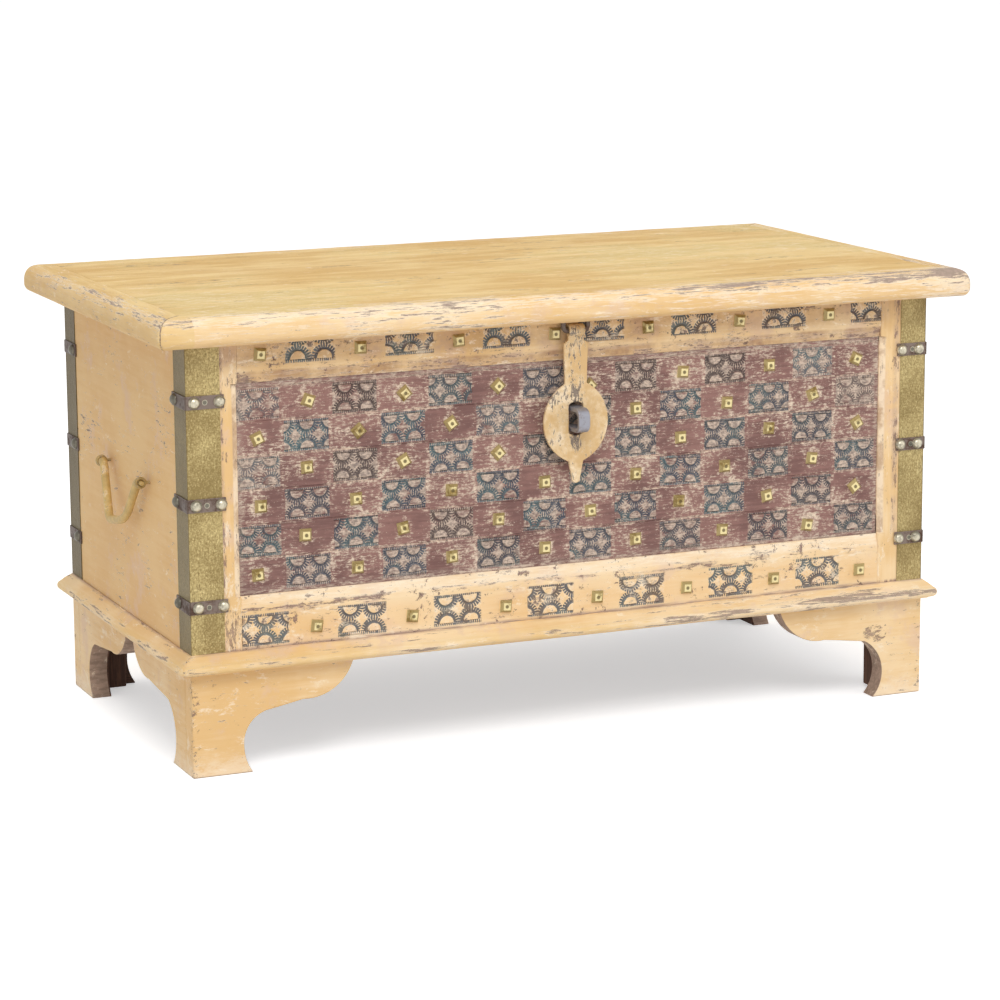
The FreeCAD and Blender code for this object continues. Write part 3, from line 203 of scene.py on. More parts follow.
class Value:
    """A shader socket that takes part in Python sums."""

    def __init__(self, finish, socket):
        self.finish = finish
        self.socket = socket

    def math(self, operation, *others, flipped=False):
        values = [self, *others]
        if flipped:
            values.reverse()
        return self.finish.make("ShaderNodeMath", {"operation": operation}, dict(enumerate(values)))

    def __add__(self, other):
        return self.math("ADD", other)

    __radd__ = __add__

    def __sub__(self, other):
        return self.math("SUBTRACT", other)

    def __rsub__(self, other):
        return self.math("SUBTRACT", other, flipped=True)

    def __mul__(self, other):
        return self.math("MULTIPLY", other)

    __rmul__ = __mul__

    def __truediv__(self, other):
        return self.math("DIVIDE", other)

    def above(self, edge):
        return self.math("GREATER_THAN", edge)

    def below(self, edge):
        return self.math("LESS_THAN", edge)

    def least(self, other):
        return self.math("MINIMUM", other)

    def most(self, other):
        return self.math("MAXIMUM", other)

    def size(self):
        return self.math("ABSOLUTE")

    def step(self, low, high):
        """0 below low, 1 above high, smooth between."""
        return self.finish.make("ShaderNodeMapRange", {"interpolation_type": "SMOOTHSTEP"},
                                {"Value": self, "From Min": low, "From Max": high})


class Nodes:
    """A node tree that is built up by Python sums."""

    def __init__(self, tree):
        self.tree = tree

    def feed(self, node, sockets):
        """Set or link a node's sockets."""
        for key, value in sockets.items():
            if isinstance(value, Value):
                self.tree.links.new(value.socket, node.inputs[key])
            else:
                node.inputs[key].default_value = value

    def make(self, kind, settings=None, sockets=None, output=0):
        """Add a node: its settings first, then the values or links of its sockets."""
        node = self.tree.nodes.new(kind)
        for key, value in (settings or {}).items():
            setattr(node, key, value)
        self.feed(node, sockets or {})
        return node if output is None else Value(self, node.outputs[output])

    def seen(self):
        """1 for a ray by which something is seen: straight, in a gloss or through glass."""
        path = self.make("ShaderNodeLightPath", output=None)
        camera, gloss, through = (Value(self, path.outputs["Is %s Ray" % word])
                                  for word in ("Camera", "Glossy", "Transmission"))
        return (camera + gloss + through).least(1.0)


class Finish(Nodes):
    """One procedural material and the nodes that make it."""

    def __init__(self, name):
        self.material = bpy.data.materials.new(name)
        self.material.use_nodes = True
        super().__init__(self.material.node_tree)
        self.shader = self.tree.nodes["Principled BSDF"]
        self.place = self.make("ShaderNodeTexCoord", output="Object")
        split = self.make("ShaderNodeSeparateXYZ", sockets={0: self.place}, output=None)
        self.x, self.y, self.z = (Value(self, split.outputs[i]) for i in range(3))

    def along(self, grain, stretch):
        """The place on the piece, squeezed across the grain so that patterns run along it."""
        scale = tuple(1.0 if axis == grain else stretch for axis in "xyz")
        return self.make("ShaderNodeMapping", sockets={"Vector": self.place, "Scale": scale})

    def noise(self, scale, detail=4, rough=0.55, place=None, swirl=0.0):
        """A cloudy pattern about 0, whose usual spread is 1."""
        raw = self.make("ShaderNodeTexNoise", sockets={
            "Vector": place or self.place, "Scale": scale, "Detail": detail, "Roughness": rough,
            "Distortion": swirl})
        return (raw - 0.5) / (ROUGH_SPREAD if rough > 0.7 else SMOOTH_SPREAD)

    def mix(self, factor, low, high):
        """A colour between two others, each a link, a colour or the name of one of the trunk's colours."""
        low, high = (tint(c) if isinstance(c, str) else c for c in (low, high))
        low, high = (c if isinstance(c, Value) else (*c, 1.0) for c in (low, high))
        return self.make("ShaderNodeMix", {"data_type": "RGBA"}, {0: factor, 6: low, 7: high}, output=2)

    def edge(self, radius):
        """How close the surface is to an outside or inside edge."""
        soft = self.make("ShaderNodeBevel", {"samples": 4}, {"Radius": radius})
        hard = self.make("ShaderNodeNewGeometry", output="Normal")
        return 1 - self.make("ShaderNodeVectorMath", {"operation": "DOT_PRODUCT"}, {0: soft, 1: hard},
                             output="Value")

    def attribute(self, name):
        return self.make("ShaderNodeAttribute", {"attribute_name": name}, output="Fac")

    def bump(self, height, strength, distance):
        return self.make("ShaderNodeBump", output="Normal",
                         sockets={"Strength": strength, "Distance": distance, "Height": height})

    def spot(self, x, z, wide, tall):
        """1 in the middle of an oval on the front, 0 on its edge, below 0 outside."""
        across = (self.x - x) / wide
        up = (self.z - z) / tall
        return 1 - (across * across + up * up)

    def done(self, base, rough, metal=0.0, normal=None, **plain):
        """Feed the shader and hand the material over."""
        self.feed(self.shader, {"Base Color": base, "Roughness": rough, "Metallic": metal, **plain})
        if normal is not None:
            self.feed(self.shader, {"Normal": normal})
        return self.material


# Old paint and bare wood shine less than new paint
CHALKY = {"Specular IOR Level": 0.3}

FINISHES = {}


def finish(name, maker, *args, **kwargs):
    """Make a material once and use it again after that."""
    if name not in FINISHES:
        FINISHES[name] = maker(name, *args, **kwargs)
    return FINISHES[name]


def tint(name, gain=1.0):
    """One of the trunk's colours, made darker or lighter."""
    return tuple(min(1.0, n * gain) for n in getattr(colours(), name))


def wood_colours(f, grain):
    """Bare wood: long grain lines and soft bands."""
    long = f.along(grain, 14.0)
    bands = f.noise(5.0, 3, 0.6, long, 0.6)
    lines = f.noise(32.0, 5, 0.65, long, 0.2)
    return f.mix((bands * 0.6 + lines * 0.6).step(-1.6, 1.6), "wood_deep", "wood"), lines


def inside_mask(f):
    """1 on the faces inside the box, 0 on the painted outside."""
    wall = 1.5 * MM
    across = f.x.size().below(-SIDE_HIGH.x + wall)
    front = f.y.above(STILE_HIGH.y - wall)
    back = f.y.below(SIDE_HIGH.y + wall)
    return across * front * back * f.z.below(BODY_TOP + wall)


def old_paint(name, light, deep, grain="x", chips=0.0, rub=0.0, wear=None):
    """Worn paint over an undercoat and an old dark coat, rubbed along the grain and chipped in clusters.

    What is special to a group of pieces comes from wear, which may change the colour and gives
    masks of more dark chips and of more rubbing.
    """
    f = Finish(name)
    short = f.along(grain, 2.6)
    blotch = f.noise(7.0, 4, 0.6)
    streak = f.noise(9.0, 6, 0.65, f.along(grain, 14.0), 0.3)
    base = f.mix((blotch * 0.8 + streak * 0.4).step(-2.2, 2.2), deep, light)
    flush = f.noise(19.0, 5, 0.65)
    base = f.mix(flush.step(0.5, 2.4) * 0.45, base, "pink")
    near = f.edge(3 * MM).step(0.02, 0.3)
    more_chips = more_rub = 0.0
    if wear:
        base, more_chips, more_rub = wear(f, base, grain)
    # Undercoat shows in ragged rubbed patches and along the edges
    scour = f.noise(26.0, 9, 0.78, short, 0.3)
    pale = (scour + near * 0.9 + rub).step(1.6, 3.2)
    base = f.mix(((pale + more_rub) * 0.7).least(0.85), base, "cream")
    # Chips down to the old dark coat lie in loose clusters, with a little primer round them
    flake = f.noise(62.0, 9, 0.8, f.along(grain, 4.2), 0.3)
    cluster = f.noise(11.0, 3, 0.6)
    bare = flake + cluster * 0.45 + near * 0.8 + chips
    chip = bare.step(3.2, 3.5).most(more_chips)
    base = f.mix(bare.step(2.4, 3.1) * 0.55, base, "cream")
    old = f.mix(f.noise(150.0, 3, 0.6).step(-1.5, 1.5), "chip", tint("chip", 1.8))
    base = f.mix(chip * 0.85, base, old)
    height = streak * 0.010 + scour * 0.012 - chip * 0.5
    base = f.mix(inside_mask(f), base, wood_colours(f, grain)[0])
    return f.done(base, 0.62 + blotch * 0.02 + chip * 0.1, normal=f.bump(height, 0.55, 1.2 * MM), **CHALKY)


def yellow_paint(name, *wear):
    return old_paint(name, "paint", "paint_deep", *wear)


def mustard(f, grain):
    """The lid's top paint: broad bands of yellow, orange and moss along the grain."""
    bands = f.noise(6.0, 4, 0.6, f.along(grain, 6.0), 0.2)
    fine = f.noise(26.0, 5, 0.65, f.along(grain, 7.0), 0.2)
    cloud = f.noise(5.0, 3, 0.55)
    base = f.mix((bands * 0.6 + fine * 0.4 + cloud * 0.6).step(-2.6, 2.2), "top_deep", "top")
    base = f.mix((cloud - bands * 0.5 + fine * 0.3).step(0.1, 2.6) * 0.5, base, "moss")
    fleck = f.noise(48.0, 8, 0.76, f.along(grain, 5.0), 0.3)
    return f.mix((fleck + cloud * 0.4).step(1.7, 2.6) * 0.5, base, "cream")


def plank_wear(f, base, grain):
    """The lid's top: mustard over the whole, with a few hairline cracks and dark specks along the grain."""
    path = f.noise(3.0, 4, 0.6, f.along(grain, 9.0), 0.2)
    zone = f.noise(6.0, 3, 0.6, f.along(grain, 3.0))
    ragged = f.noise(110.0, 6, 0.75, f.along(grain, 4.0))
    back = f.y.step(*LID_REAR)
    crack = (1 - path.size().step(0.03, 0.12)) * (zone + ragged * 0.5 + back * 0.4).step(1.4, 1.8)
    speck = (f.noise(150.0, 5, 0.75, f.along(grain, 2.4)) + back * 0.4).step(3.1, 3.4)
    return mustard(f, grain), crack.most(speck), 0.0


def lid_wear(f, base, grain):
    """Mustard on the flat top; the nose is rubbed pale above, scraped dark along its upper edge, and given
    painted shade low down.
    """
    rise = (f.z - LID_LOW.z) / (LID_HIGH.z - LID_LOW.z)
    long = f.along(grain, 12.0)
    scrape = f.noise(20.0, 8, 0.76, long, 0.3)
    fine = f.noise(60.0, 6, 0.65, long, 0.2)
    zone = f.noise(3.6, 3, 0.6)
    base = f.mix(rise.step(0.93, 0.99), base, mustard(f, grain))
    upper = rise.step(0.40, 0.90) * (1 - rise.step(0.985, 1.0))
    front = f.y.below(LID_HIGH.y)
    right = (f.x / LID_HIGH.x).step(-0.15, 0.45) * front
    left = f.x.below(LID_END)
    arris = rise.step(0.66, 0.84) * (1 - rise.step(0.985, 1.0)) * right
    dark = (scrape * 0.8 + fine * 0.6 + zone * 0.5 + upper * (0.9 + right * 1.3) + arris * 1.1
            + left * 0.5).step(2.4, 3.0)
    mitre = ((f.x.size() - LID_HIGH.x) - (f.y.size() + LID_LOW.y)).size()
    joint = (1 - mitre.step(0.5 * MM, 1.6 * MM)) * fine.step(-1.4, 0.0)
    pale = (upper * 1.4 + scrape * 0.7 + fine * 0.3 + zone * 0.4 + right * 0.9 - left * 0.5).step(0.4, 2.0)
    # Painted shade on the nose's lower half, which turns down away from the light
    low = (1 - rise.step(0.10, 0.55)) * (1 - pale)
    base = f.mix(low * (0.7 + fine * 0.12), base, tint("paint_deep", 0.95))
    streak = (fine + scrape * 0.5).step(0.9, 2.2) * 0.45
    base = f.mix(streak, base, tint("pink", 0.9))
    base = f.mix(left * 0.5, base, mustard(f, grain))
    base = f.mix(dark * 0.5, base, tint("pink", 0.6))
    return base, (dark * 0.78).most(joint * 0.9), pale


def lip_wear(f, base, grain):
    """The bevels down to the panel: the sill is rubbed pale, the upright ones grimy, the top one given
    painted shade.
    """
    lip = f.y.step(-BODY_HALF_D + 0.5 * MM, -BODY_HALF_D + 1.6 * MM) * f.y.below(LIP_BACK)
    sill = lip * f.z.below(OPEN_LOW + 1 * MM)
    soffit = lip * f.z.above(OPEN_TOP - 1 * MM)
    upright = lip - sill - soffit
    scrape = f.noise(18.0, 7, 0.75, f.along(grain, 9.0), 0.3)
    grime = f.noise(38.0, 5, 0.65)
    ragged = f.noise(120.0, 9, 0.8, f.along(grain, 2.5))
    deep = (f.y + BODY_HALF_D) / (PANEL_FACE + BODY_HALF_D)
    base = f.mix(upright * 0.65, base, f.mix(grime.step(-1.5, 1.5), tint("sawn", 0.9), "cream"))
    # Painted shade on the top bevel, which faces down under the top rail
    base = f.mix(soffit * (0.55 + grime * 0.15), base,
                 f.mix(scrape.step(-1.2, 1.2), tint("umber", 0.75), "sawn"))
    # The sill turns browner towards the panel
    base = f.mix(sill * deep.step(0.55, 1.0) * (0.5 + grime * 0.15), base, "umber")
    # Painted shadow of the lid's overhang on the front just under it
    under = f.z.step(*LID_SHADE) * f.y.below(LIP_BACK)
    base = f.mix(under * (0.34 + grime * 0.08), base, tint("umber", 0.8))
    # Blue-grey scrapes along the sill's front edge, most on the left, and dirt over the moulding
    line = 1 - ((f.z - SILL_EDGE - 2 * MM).size() / MM).step(0.5, 8.0)
    left = line * (-0.12 - f.x).step(0.0, 0.20) * f.x.above(-OPEN_HALF)
    base = f.mix(line * (scrape + grime * 0.5 + left * 0.6).step(0.5, 1.5) * 0.55, base, tint("chip", 2.0))
    gleam = sill * (scrape * 0.7 + ragged * 0.6).step(0.6, 1.6)
    base = f.mix(gleam * 0.7, base, tint("cream", 1.1))
    foot = 1 - ((f.z - MOULD_TOP) / MM).step(0.5, 4.0)
    base = f.mix(foot * (scrape * 0.3 + 0.6).least(0.8), base, tint("chip", 2.4))
    # Two corners of the frame are badly chipped
    lower, upper = (f.spot(*place).step(*RAGGED) for place in CHIPPED_FRAME)
    worn = lower.most(upper) * f.y.below(0)
    edge = (1 - ((f.x.size() - BRASS_EDGE).size() / MM).step(1.0, 6.0)) * f.z.above(OPEN_LOW)
    base = f.mix(edge * (0.4 + grime * 0.15), base, "sawn")
    dark = (scrape * 0.8 + ragged * 0.7 + grime * 0.3 + line * 0.9 + left * 1.0 + soffit * 0.8 + worn * 2.4
            + edge * 1.6 + upright * 0.4).step(2.4, 2.9)
    return base, dark * 0.8, sill * (scrape * 0.25 + 0.65).least(0.9) + worn * 0.3


def carved_ink(f, wander):
    """The carving at a point: how dark its bars, rings and teeth are, and how pale the ridges between."""
    across = f.attribute("across") + wander * 0.012
    up = f.attribute("up") + wander * 0.012
    high = up.size()
    side = (across.math("FRACT") - 0.5) * 2
    drop = 1 - high / BAR_FROM
    reach = (side * side + drop * drop).math("SQRT")
    tooth = (side.math("ARCTAN2", drop) * (2 * sizes().teeth)).math("COSINE")
    outline = (reach.step(RING_IN - 0.05, RING_IN + 0.01)
               * (1 - reach.step(TOOTH_FROM - 0.02, TOOTH_FROM + 0.05)))
    ring = (reach.step(TOOTH_FROM - 0.05, TOOTH_FROM)
            * (1 - reach.step(RING_OUT - 0.04, RING_OUT + 0.03)))
    cut = tooth.step(-1.0, 0.0)
    inner = outline.most(ring * (0.28 + cut * 0.72))
    comb = (across * (COMB * 2 * math.pi)).math("COSINE").step(-0.6, 0.4)
    in_bar = high.step(BAR_FROM - 0.02, BAR_FROM + 0.02)
    motif = f.attribute("motif").step(0.1, 0.6)
    ink = inner * (1 - in_bar) + (0.45 + comb * 0.55) * in_bar
    ridge = ring * (1 - cut) * (1 - in_bar) + (1 - comb) * in_bar
    return ink * motif, ridge * motif


def carved_wear(f, base, grain):
    """Dark colour left in the carving of a painted rail, over its bevel's wear and painted shade."""
    base, chips, rub = lip_wear(f, base, grain)
    base = f.mix(f.z.below(OPEN_LOW) * 0.16, base, "cream")
    middle = (MOULD_TOP + SILL_EDGE) / 2
    face = 1 - ((f.z - middle).size() / (SILL_EDGE - middle)).step(0.3, 1.1)
    base = f.mix(face * 0.27, base, "amber")
    wash = f.noise(40.0, 5, 0.65)
    ragged = f.noise(140.0, 9, 0.8)
    ink, ridge = carved_ink(f, wash)
    tone = f.mix(wash.step(-0.6, 1.4), "groove", "soot")
    tone = f.mix(f.noise(13.0, 3, 0.6).step(0.0, 1.6) * 0.6, tone, "teal")
    motif = f.attribute("motif")
    drawn = (ink + ragged * 0.17 + wash * 0.09).step(0.34, 0.58) * motif
    base = f.mix(motif * (ragged + wash * 0.5 + ridge).step(-0.8, 1.4) * 0.7, base, "cream")
    base = f.mix(drawn * 0.86, base, tone)
    smudge = (ragged + wash * 0.8 + motif * 1.0).step(2.3, 2.7)
    return base, chips.most(smudge * (1 - drawn)), rub * (1 - drawn)


def foot_wear(f, base, grain):
    """Sawn edges of the brackets are bare and grey, their backs dark; one knee is badly chipped."""
    cut = f.attribute("cut")
    fibre = f.noise(60.0, 5, 0.65, f.along("x", 3.0))
    base = f.mix(cut.step(0.4, 0.6), base, f.mix(fibre.step(-1.6, 1.6), tint("sawn", 0.7), "sawn"))
    base = f.mix(cut.step(1.4, 1.6), base, f.mix(fibre.step(-1.6, 1.6), "wood_deep", "wood"))
    painted = 1 - cut.step(0.3, 0.5)
    ragged = f.noise(70.0, 9, 0.8, f.along(grain, 2.0), 0.4)
    knee = f.spot(*CHIPPED_KNEE).step(*RAGGED) * f.y.below(0)
    low = 1 - (f.z / FOOT_HIGH.z).step(0.0, 0.35)
    inward = (f.x.size() + FOOT_LOW.x).size() + (f.y.size() + FOOT_LOW.y).size()
    corner = 1 - (inward / MM).step(1.0, 15.0)
    dark = (ragged + knee * 2.7 + low * 0.2 + corner * 1.6).step(2.6, 3.0)
    sole = 1 - (f.z / MM).step(0.5, 2.0)
    fade = (low + ragged * 0.12 + fibre * 0.08).step(0.25, 1.1)
    return base, (dark * 0.85).most(sole * 0.6) * painted, fade * 0.85 * painted


def nose_wear(f, base, grain):
    """The moulding's nose is rubbed pale and scraped; dirt lies where it meets the box."""
    out = (f.x.size() - BODY_HALF_W).most(f.y.size() - BODY_HALF_D) / MM
    scrape = f.noise(14.0, 8, 0.76, f.along(grain, 10.0), 0.3)
    zone = f.noise(4.0, 3, 0.6)
    nose = out.step(9.0, 16.0)
    right = (f.x / BODY_HALF_W).step(-0.3, 0.7) * f.y.below(-BODY_HALF_D)
    dirt = (1 - out.step(0.4, 5.0)) * (scrape + zone * 0.5).step(-1.4, 0.4)
    base = f.mix(dirt * 0.75, base, tint("chip", 2.2))
    base = f.mix(nose * 0.35, base, "top")
    dark = (scrape + zone * 0.5 + nose * (0.7 + right * 0.6)).step(2.3, 2.7)
    return base, dark * 0.8, (nose * 0.8 + scrape * 0.3 + zone * 0.3 + right * 0.4).step(0.5, 2.0)


def stained_panel(name):
    """Brown stain rubbed to pale wood, with blue-grey left in the carved grooves."""
    f = Finish(name)
    left, top, cell_w, cell_h = carved_grid()
    across = (((f.x - left) / cell_w).math("FRACT") - 0.5) * cell_w
    up = (((top - f.z) / cell_h).math("FRACT") - 0.5) * cell_h
    to_edge = (cell_w / 2 - across.size()).least(cell_h / 2 - up.size()) / MM
    from_stud = (across * across + up * up).math("SQRT") / MM
    blotch = f.noise(12.0, 5, 0.62)
    grain = f.noise(17.0, 7, 0.65, f.along("x", 14.0), 0.3)
    base = f.mix((blotch * 0.6 + grain * 0.5).step(-1.9, 1.4), "stain_deep", "stain")
    motif = f.attribute("motif")
    # Flaked pale rubbing, thickest round the studs and along the cell borders
    patch = f.noise(24.0, 4, 0.6)
    flake = f.noise(110.0, 9, 0.80, f.along("x", 4.5), 0.3)
    speck = f.noise(300.0, 3, 0.65)
    halo = (1 - from_stud.step(8.0, 15.0)) * (1 - motif)
    border = 1 - to_edge.step(0.4, 4.5)
    pale = flake * 1.1 + patch * 0.7 + speck * 0.4 + halo * 1.7 + border * 0.9
    rubbing = f.mix(speck.step(-1.2, 1.2), tint("pink", 0.72), tint("dust", 0.9))
    base = f.mix(pale.step(0.5, 2.5) * 0.72, base, rubbing)
    base = f.mix(pale.step(2.2, 3.6) * 0.6, base, "cream")
    # The raised parts of a motif are greyer and more evenly rubbed than the plain cells
    rubbed = f.mix((flake * 0.8 + speck * 0.5).step(-1.6, 1.4), "ground", tint("dust", 0.88))
    base = f.mix(motif * (patch * 0.6 + flake * 0.5).step(-2.0, 0.0) * 0.85, base, rubbed)
    tone = f.mix(f.noise(18.0, 4, 0.6).step(-0.8, 1.2), "groove", "teal")
    tone = f.mix(f.attribute("tone"), "soot", tone)
    ink, ridge = carved_ink(f, patch)
    base = f.mix(ridge * (flake * 0.6 + speck * 0.6).step(-1.0, 0.8) * 0.75, base, tint("dust", 1.1))
    drawn = (ink * f.attribute("strength") + flake * 0.18 + patch * 0.07).step(0.30, 0.64)
    base = f.mix(drawn * (1 - speck.step(0.4, 1.8) * 0.4) * 0.84, base, tone)
    # Lines scribed between the rows, pale on their lips
    wave = (cell_h / 2 - up.size()) / MM + patch * 0.25
    line = (1 - wave.step(0.5, 1.5)) * (patch + flake * 0.5).step(-1.2, 0.4)
    base = f.mix(line * 0.75, base, f.mix(speck.step(-1.6, 0.4), "ground", "dust"))
    # Old grey dust along the edges of the opening
    rim = (OPEN_HALF - f.x.size()).least(f.z - OPEN_LOW).least(OPEN_TOP - f.z) / MM
    base = f.mix((1 - rim.step(0.5, 11.0)) * flake.step(-1.4, 0.9) * 0.62, base, tint("dust", 0.68))
    base = f.mix(f.y.above(PANEL_FACE + 8 * MM), base, wood_colours(f, "x")[0])
    height = grain * 0.02 + flake * 0.02 + speck * 0.006
    return f.done(base, 0.66 + blotch * 0.02, normal=f.bump(height, 0.6, 1.2 * MM), **CHALKY)


def bare_wood(name, grain="x"):
    f = Finish(name)
    base, lines = wood_colours(f, grain)
    return f.done(base, 0.76 + lines * 0.01, normal=f.bump(lines * 0.066, 0.4, 0.8 * MM), **CHALKY)


def stippled_brass(name):
    """Thin brass sheet, embossed and tarnished, a little darker on the right, with painted shade on the legs
    round the box's ends, most at the back.
    """
    f = Finish(name)
    dents = f.noise(520.0, 3, 0.6, swirl=0.3)
    crease = f.noise(260.0, 4, 0.65, f.along("z", 2.0), 0.4)
    cloud = f.noise(14.0, 4, 0.6)
    bright = (dents * 0.6 + crease * 0.6 + cloud * 0.7).step(-2.6, 2.8)
    base = f.mix(bright, "brass_deep", "brass")
    base = f.mix((crease + dents * 0.5 + cloud * 0.5).step(1.6, 2.8) * 0.5, base, "stud")
    base = f.mix((cloud - crease * 0.5).step(1.0, 2.4) * 0.35, base, tint("brass_deep", 0.6))
    side = (f.x.size() - BODY_HALF_W).step(0.0, 0.3 * MM)
    # A little darker on the right-hand corners
    base = f.mix(f.x.above(0) * 0.16, base, tint("brass_deep", 0.7))
    # Painted shade on the legs that lie on the box's ends, deepest at the back corners
    base = f.mix(side * 0.74, base, tint("brass_deep", 0.42))
    base = f.mix(side * f.y.above(0) * 0.5, base, tint("brass_deep", 0.3))
    return f.done(base, 0.5 + dents * 0.02, 0.35, f.bump(dents * 0.05 + crease * 0.05, 0.7, 1.2 * MM))


def worn_metal(name, bright, dull, metal=0.8, rough=0.4, grime=0.0, edge=0.5, side=0.0):
    """Metal with grime, brighter rubbed edges, darker dimples, and painted shade on its flanks and on the
    box's ends.
    """
    f = Finish(name)
    cloud = f.noise(38.0, 5, 0.65)
    fine = f.noise(190.0, 4, 0.6)
    rub = f.edge(2.0 * MM).step(0.02, 0.3) * edge
    dirty = (cloud * 0.7 + fine * 0.4 - rub * 1.5 + grime).step(-0.4, 1.8)
    base = f.mix(dirty, bright, dull)
    base = f.mix(rub * fine.step(-1.2, 0.8) * 0.75, base, tuple(min(1, n * 1.8 + 0.06) for n in bright))
    # Painted shade on the sloping flanks of studs and rivets
    base = f.mix(f.attribute("flank") * 0.65, base, tuple(n * 0.8 for n in dull))
    # Darker in the dimples of the studs and ring nails
    base = f.mix(f.attribute("middle") * 0.85, base, tuple(n * 0.35 for n in dull))
    # Painted shade on the bands and rivets that lie on the box's ends
    if side:
        on_end = (f.x.size() - BODY_HALF_W).step(0.0, 0.4 * MM)
        base = f.mix(on_end * side, base, tuple(n * 0.4 for n in dull))
    return f.done(base, rough + dirty * 0.28, metal, f.bump(cloud * 0.04 + fine * 0.026, 0.45, 0.7 * MM))


def chipped_iron(name, light, deep, chips=0.0):
    """Paint on iron, chipped to dark metal in upright dashes and round the staple."""
    f = Finish(name)
    blotch = f.noise(24.0, 5, 0.65)
    fine = f.noise(120.0, 5, 0.7)
    base = f.mix((blotch * 0.7 + fine * 0.4).step(-1.5, 1.5), deep, light)
    base = f.mix((blotch + fine * 0.5).step(1.2, 2.4) * 0.4, base, "cream")
    near = f.edge(1.6 * MM).step(0.05, 0.3)
    dash = f.noise(105.0, 8, 0.78, f.along("z", 3.0), 0.3)
    hasp = f.y.below(-BODY_HALF_D) * f.x.size().below(HASP_REACH)
    away = (1 - f.spot(*CHIPPED_SLOT)).math("SQRT")
    slot = (1 - away.step(0.5, 1.3)) * hasp
    strap = (1 - (f.x.size() / MM).step(6.0, 12.0)) * f.z.above(STRAP_LOW) * hasp
    plate = f.spot(*CHIPPED_PLATE).step(-0.6, 0.6) * hasp
    bare = dash + blotch * 0.5 + near * 0.4 + slot * 2.3 + plate * 2.2 + strap * 1.6 + chips
    chip = bare.step(2.4, 2.8)
    base = f.mix(bare.step(1.8, 2.4) * 0.4, base, "cream")
    base = f.mix(chip * 0.88, base, f.mix(fine.step(-1.2, 1.2), tint("band", 0.7), tint("band", 1.3)))
    return f.done(base, 0.55 + blotch * 0.02, chip * 0.3, f.bump(fine * 0.026 - chip * 0.5, 0.5, 0.8 * MM))


# Shaping with bmesh operators

# Longest stretch of a board and of a bracket that stays straight, and the waves of their unevenness
BOARD_STEP = 60 * MM
BRACKET_STEP = 30 * MM
BOARD_WAVE = 70 * MM
PANEL_WAVE = 40 * MM
STUD_WAVE = 14 * MM
UNEVEN_SEED = 5
# Points closer than this are one, faces flatter than this are one, and edges sharper than this are rounded
SAME_POINT = 0.002 * MM
SAME_FACE = math.radians(0.4)
SHARP = 32
PLAN_CUTS = 5
# A ring nail's head: its sides, its radius below and above, its height, and the dish in it
NAIL_SIDES = 12
NAIL_LOW = 3.4 * MM
NAIL_HIGH = 3.0 * MM
NAIL_TALL = 1.2 * MM
NAIL_RIM = 0.9 * MM
NAIL_DISH = 0.4 * MM


def from_cad(*nodes):
    """A merged copy of CAD nodes, with flat faces made whole."""
    bm = bmesh.new()
    for node in nodes:
        bm.from_mesh(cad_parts[node].data)
    bmesh.ops.remove_doubles(bm, verts=bm.verts, dist=SAME_POINT)
    bmesh.ops.dissolve_limit(bm, angle_limit=SAME_FACE, verts=bm.verts, edges=bm.edges)
    return bm


def round_edges(bm, width, segments=2, angle=SHARP):
    """Bevel every edge that is sharper than an angle."""
    limit = math.radians(angle)
    sharp = [e for e in bm.edges if len(e.link_faces) == 2 and e.calc_face_angle(0) > limit]
    if sharp:
        bmesh.ops.bevel(bm, geom=sharp, offset=width, offset_type="OFFSET", segments=segments, profile=0.5,
                        affect="EDGES", clamp_overlap=True, material=-1)


def cut_across(bm, axis, place):
    """Cut every face that crosses a plane square to an axis."""
    normal = Vector((axis == 0, axis == 1, axis == 2))
    bmesh.ops.bisect_plane(bm, geom=[*bm.verts, *bm.edges, *bm.faces], dist=1e-7,
                           plane_co=normal * place, plane_no=normal)


def slice_up(bm, step):
    """Cut long faces into pieces no longer than a step, so that they can be uneven."""
    for axis in range(3):
        low = min(v.co[axis] for v in bm.verts)
        high = max(v.co[axis] for v in bm.verts)
        cuts = int((high - low) / step)
        for i in range(1, cuts + 1):
            cut_across(bm, axis, low + (high - low) * i / (cuts + 1))


def round_plan(bm, low, high, radius):
    """Round the corner that two mitred strips make, seen from above."""
    reach = (max(-low.x, high.x), max(-low.y, high.y))
    for axis in (0, 1):
        for i in range(1, PLAN_CUTS + 1):
            for side in (-1, 1):
                cut_across(bm, axis, side * (reach[axis] - radius * i / PLAN_CUTS))
    for v in bm.verts:
        out = [abs(v.co[axis]) - reach[axis] + radius for axis in (0, 1)]
        if min(out) > 0:
            pull = max(out) / math.hypot(*out)
            for axis in (0, 1):
                v.co[axis] = math.copysign(reach[axis] - radius + out[axis] * pull, v.co[axis])


def weather(bm, amount, wave=BOARD_WAVE):
    """Move the surface by a smooth hand-made unevenness, the same each time."""
    noise.seed_set(UNEVEN_SEED)
    for v in bm.verts:
        v.co += noise.noise_vector(v.co / wave) * amount


def piece(name, bm, material, body, nodes=(), smooth=40):
    """Turn a bmesh into a finished object that rides on a body."""
    mesh = bpy.data.meshes.new(name)
    for face in bm.faces:
        face.smooth = True
    bm.to_mesh(mesh)
    bm.free()
    mesh.set_sharp_from_angle(angle=math.radians(smooth))
    obj = bpy.data.objects.new(name, mesh)
    bpy.context.scene.collection.objects.link(obj)
    obj.data.materials.append(material)
    weighted = obj.modifiers.new("even_shading", "WEIGHTED_NORMAL")
    weighted.keep_sharp = True
    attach(obj, body)
    if nodes:
        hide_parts(*nodes)
    return obj


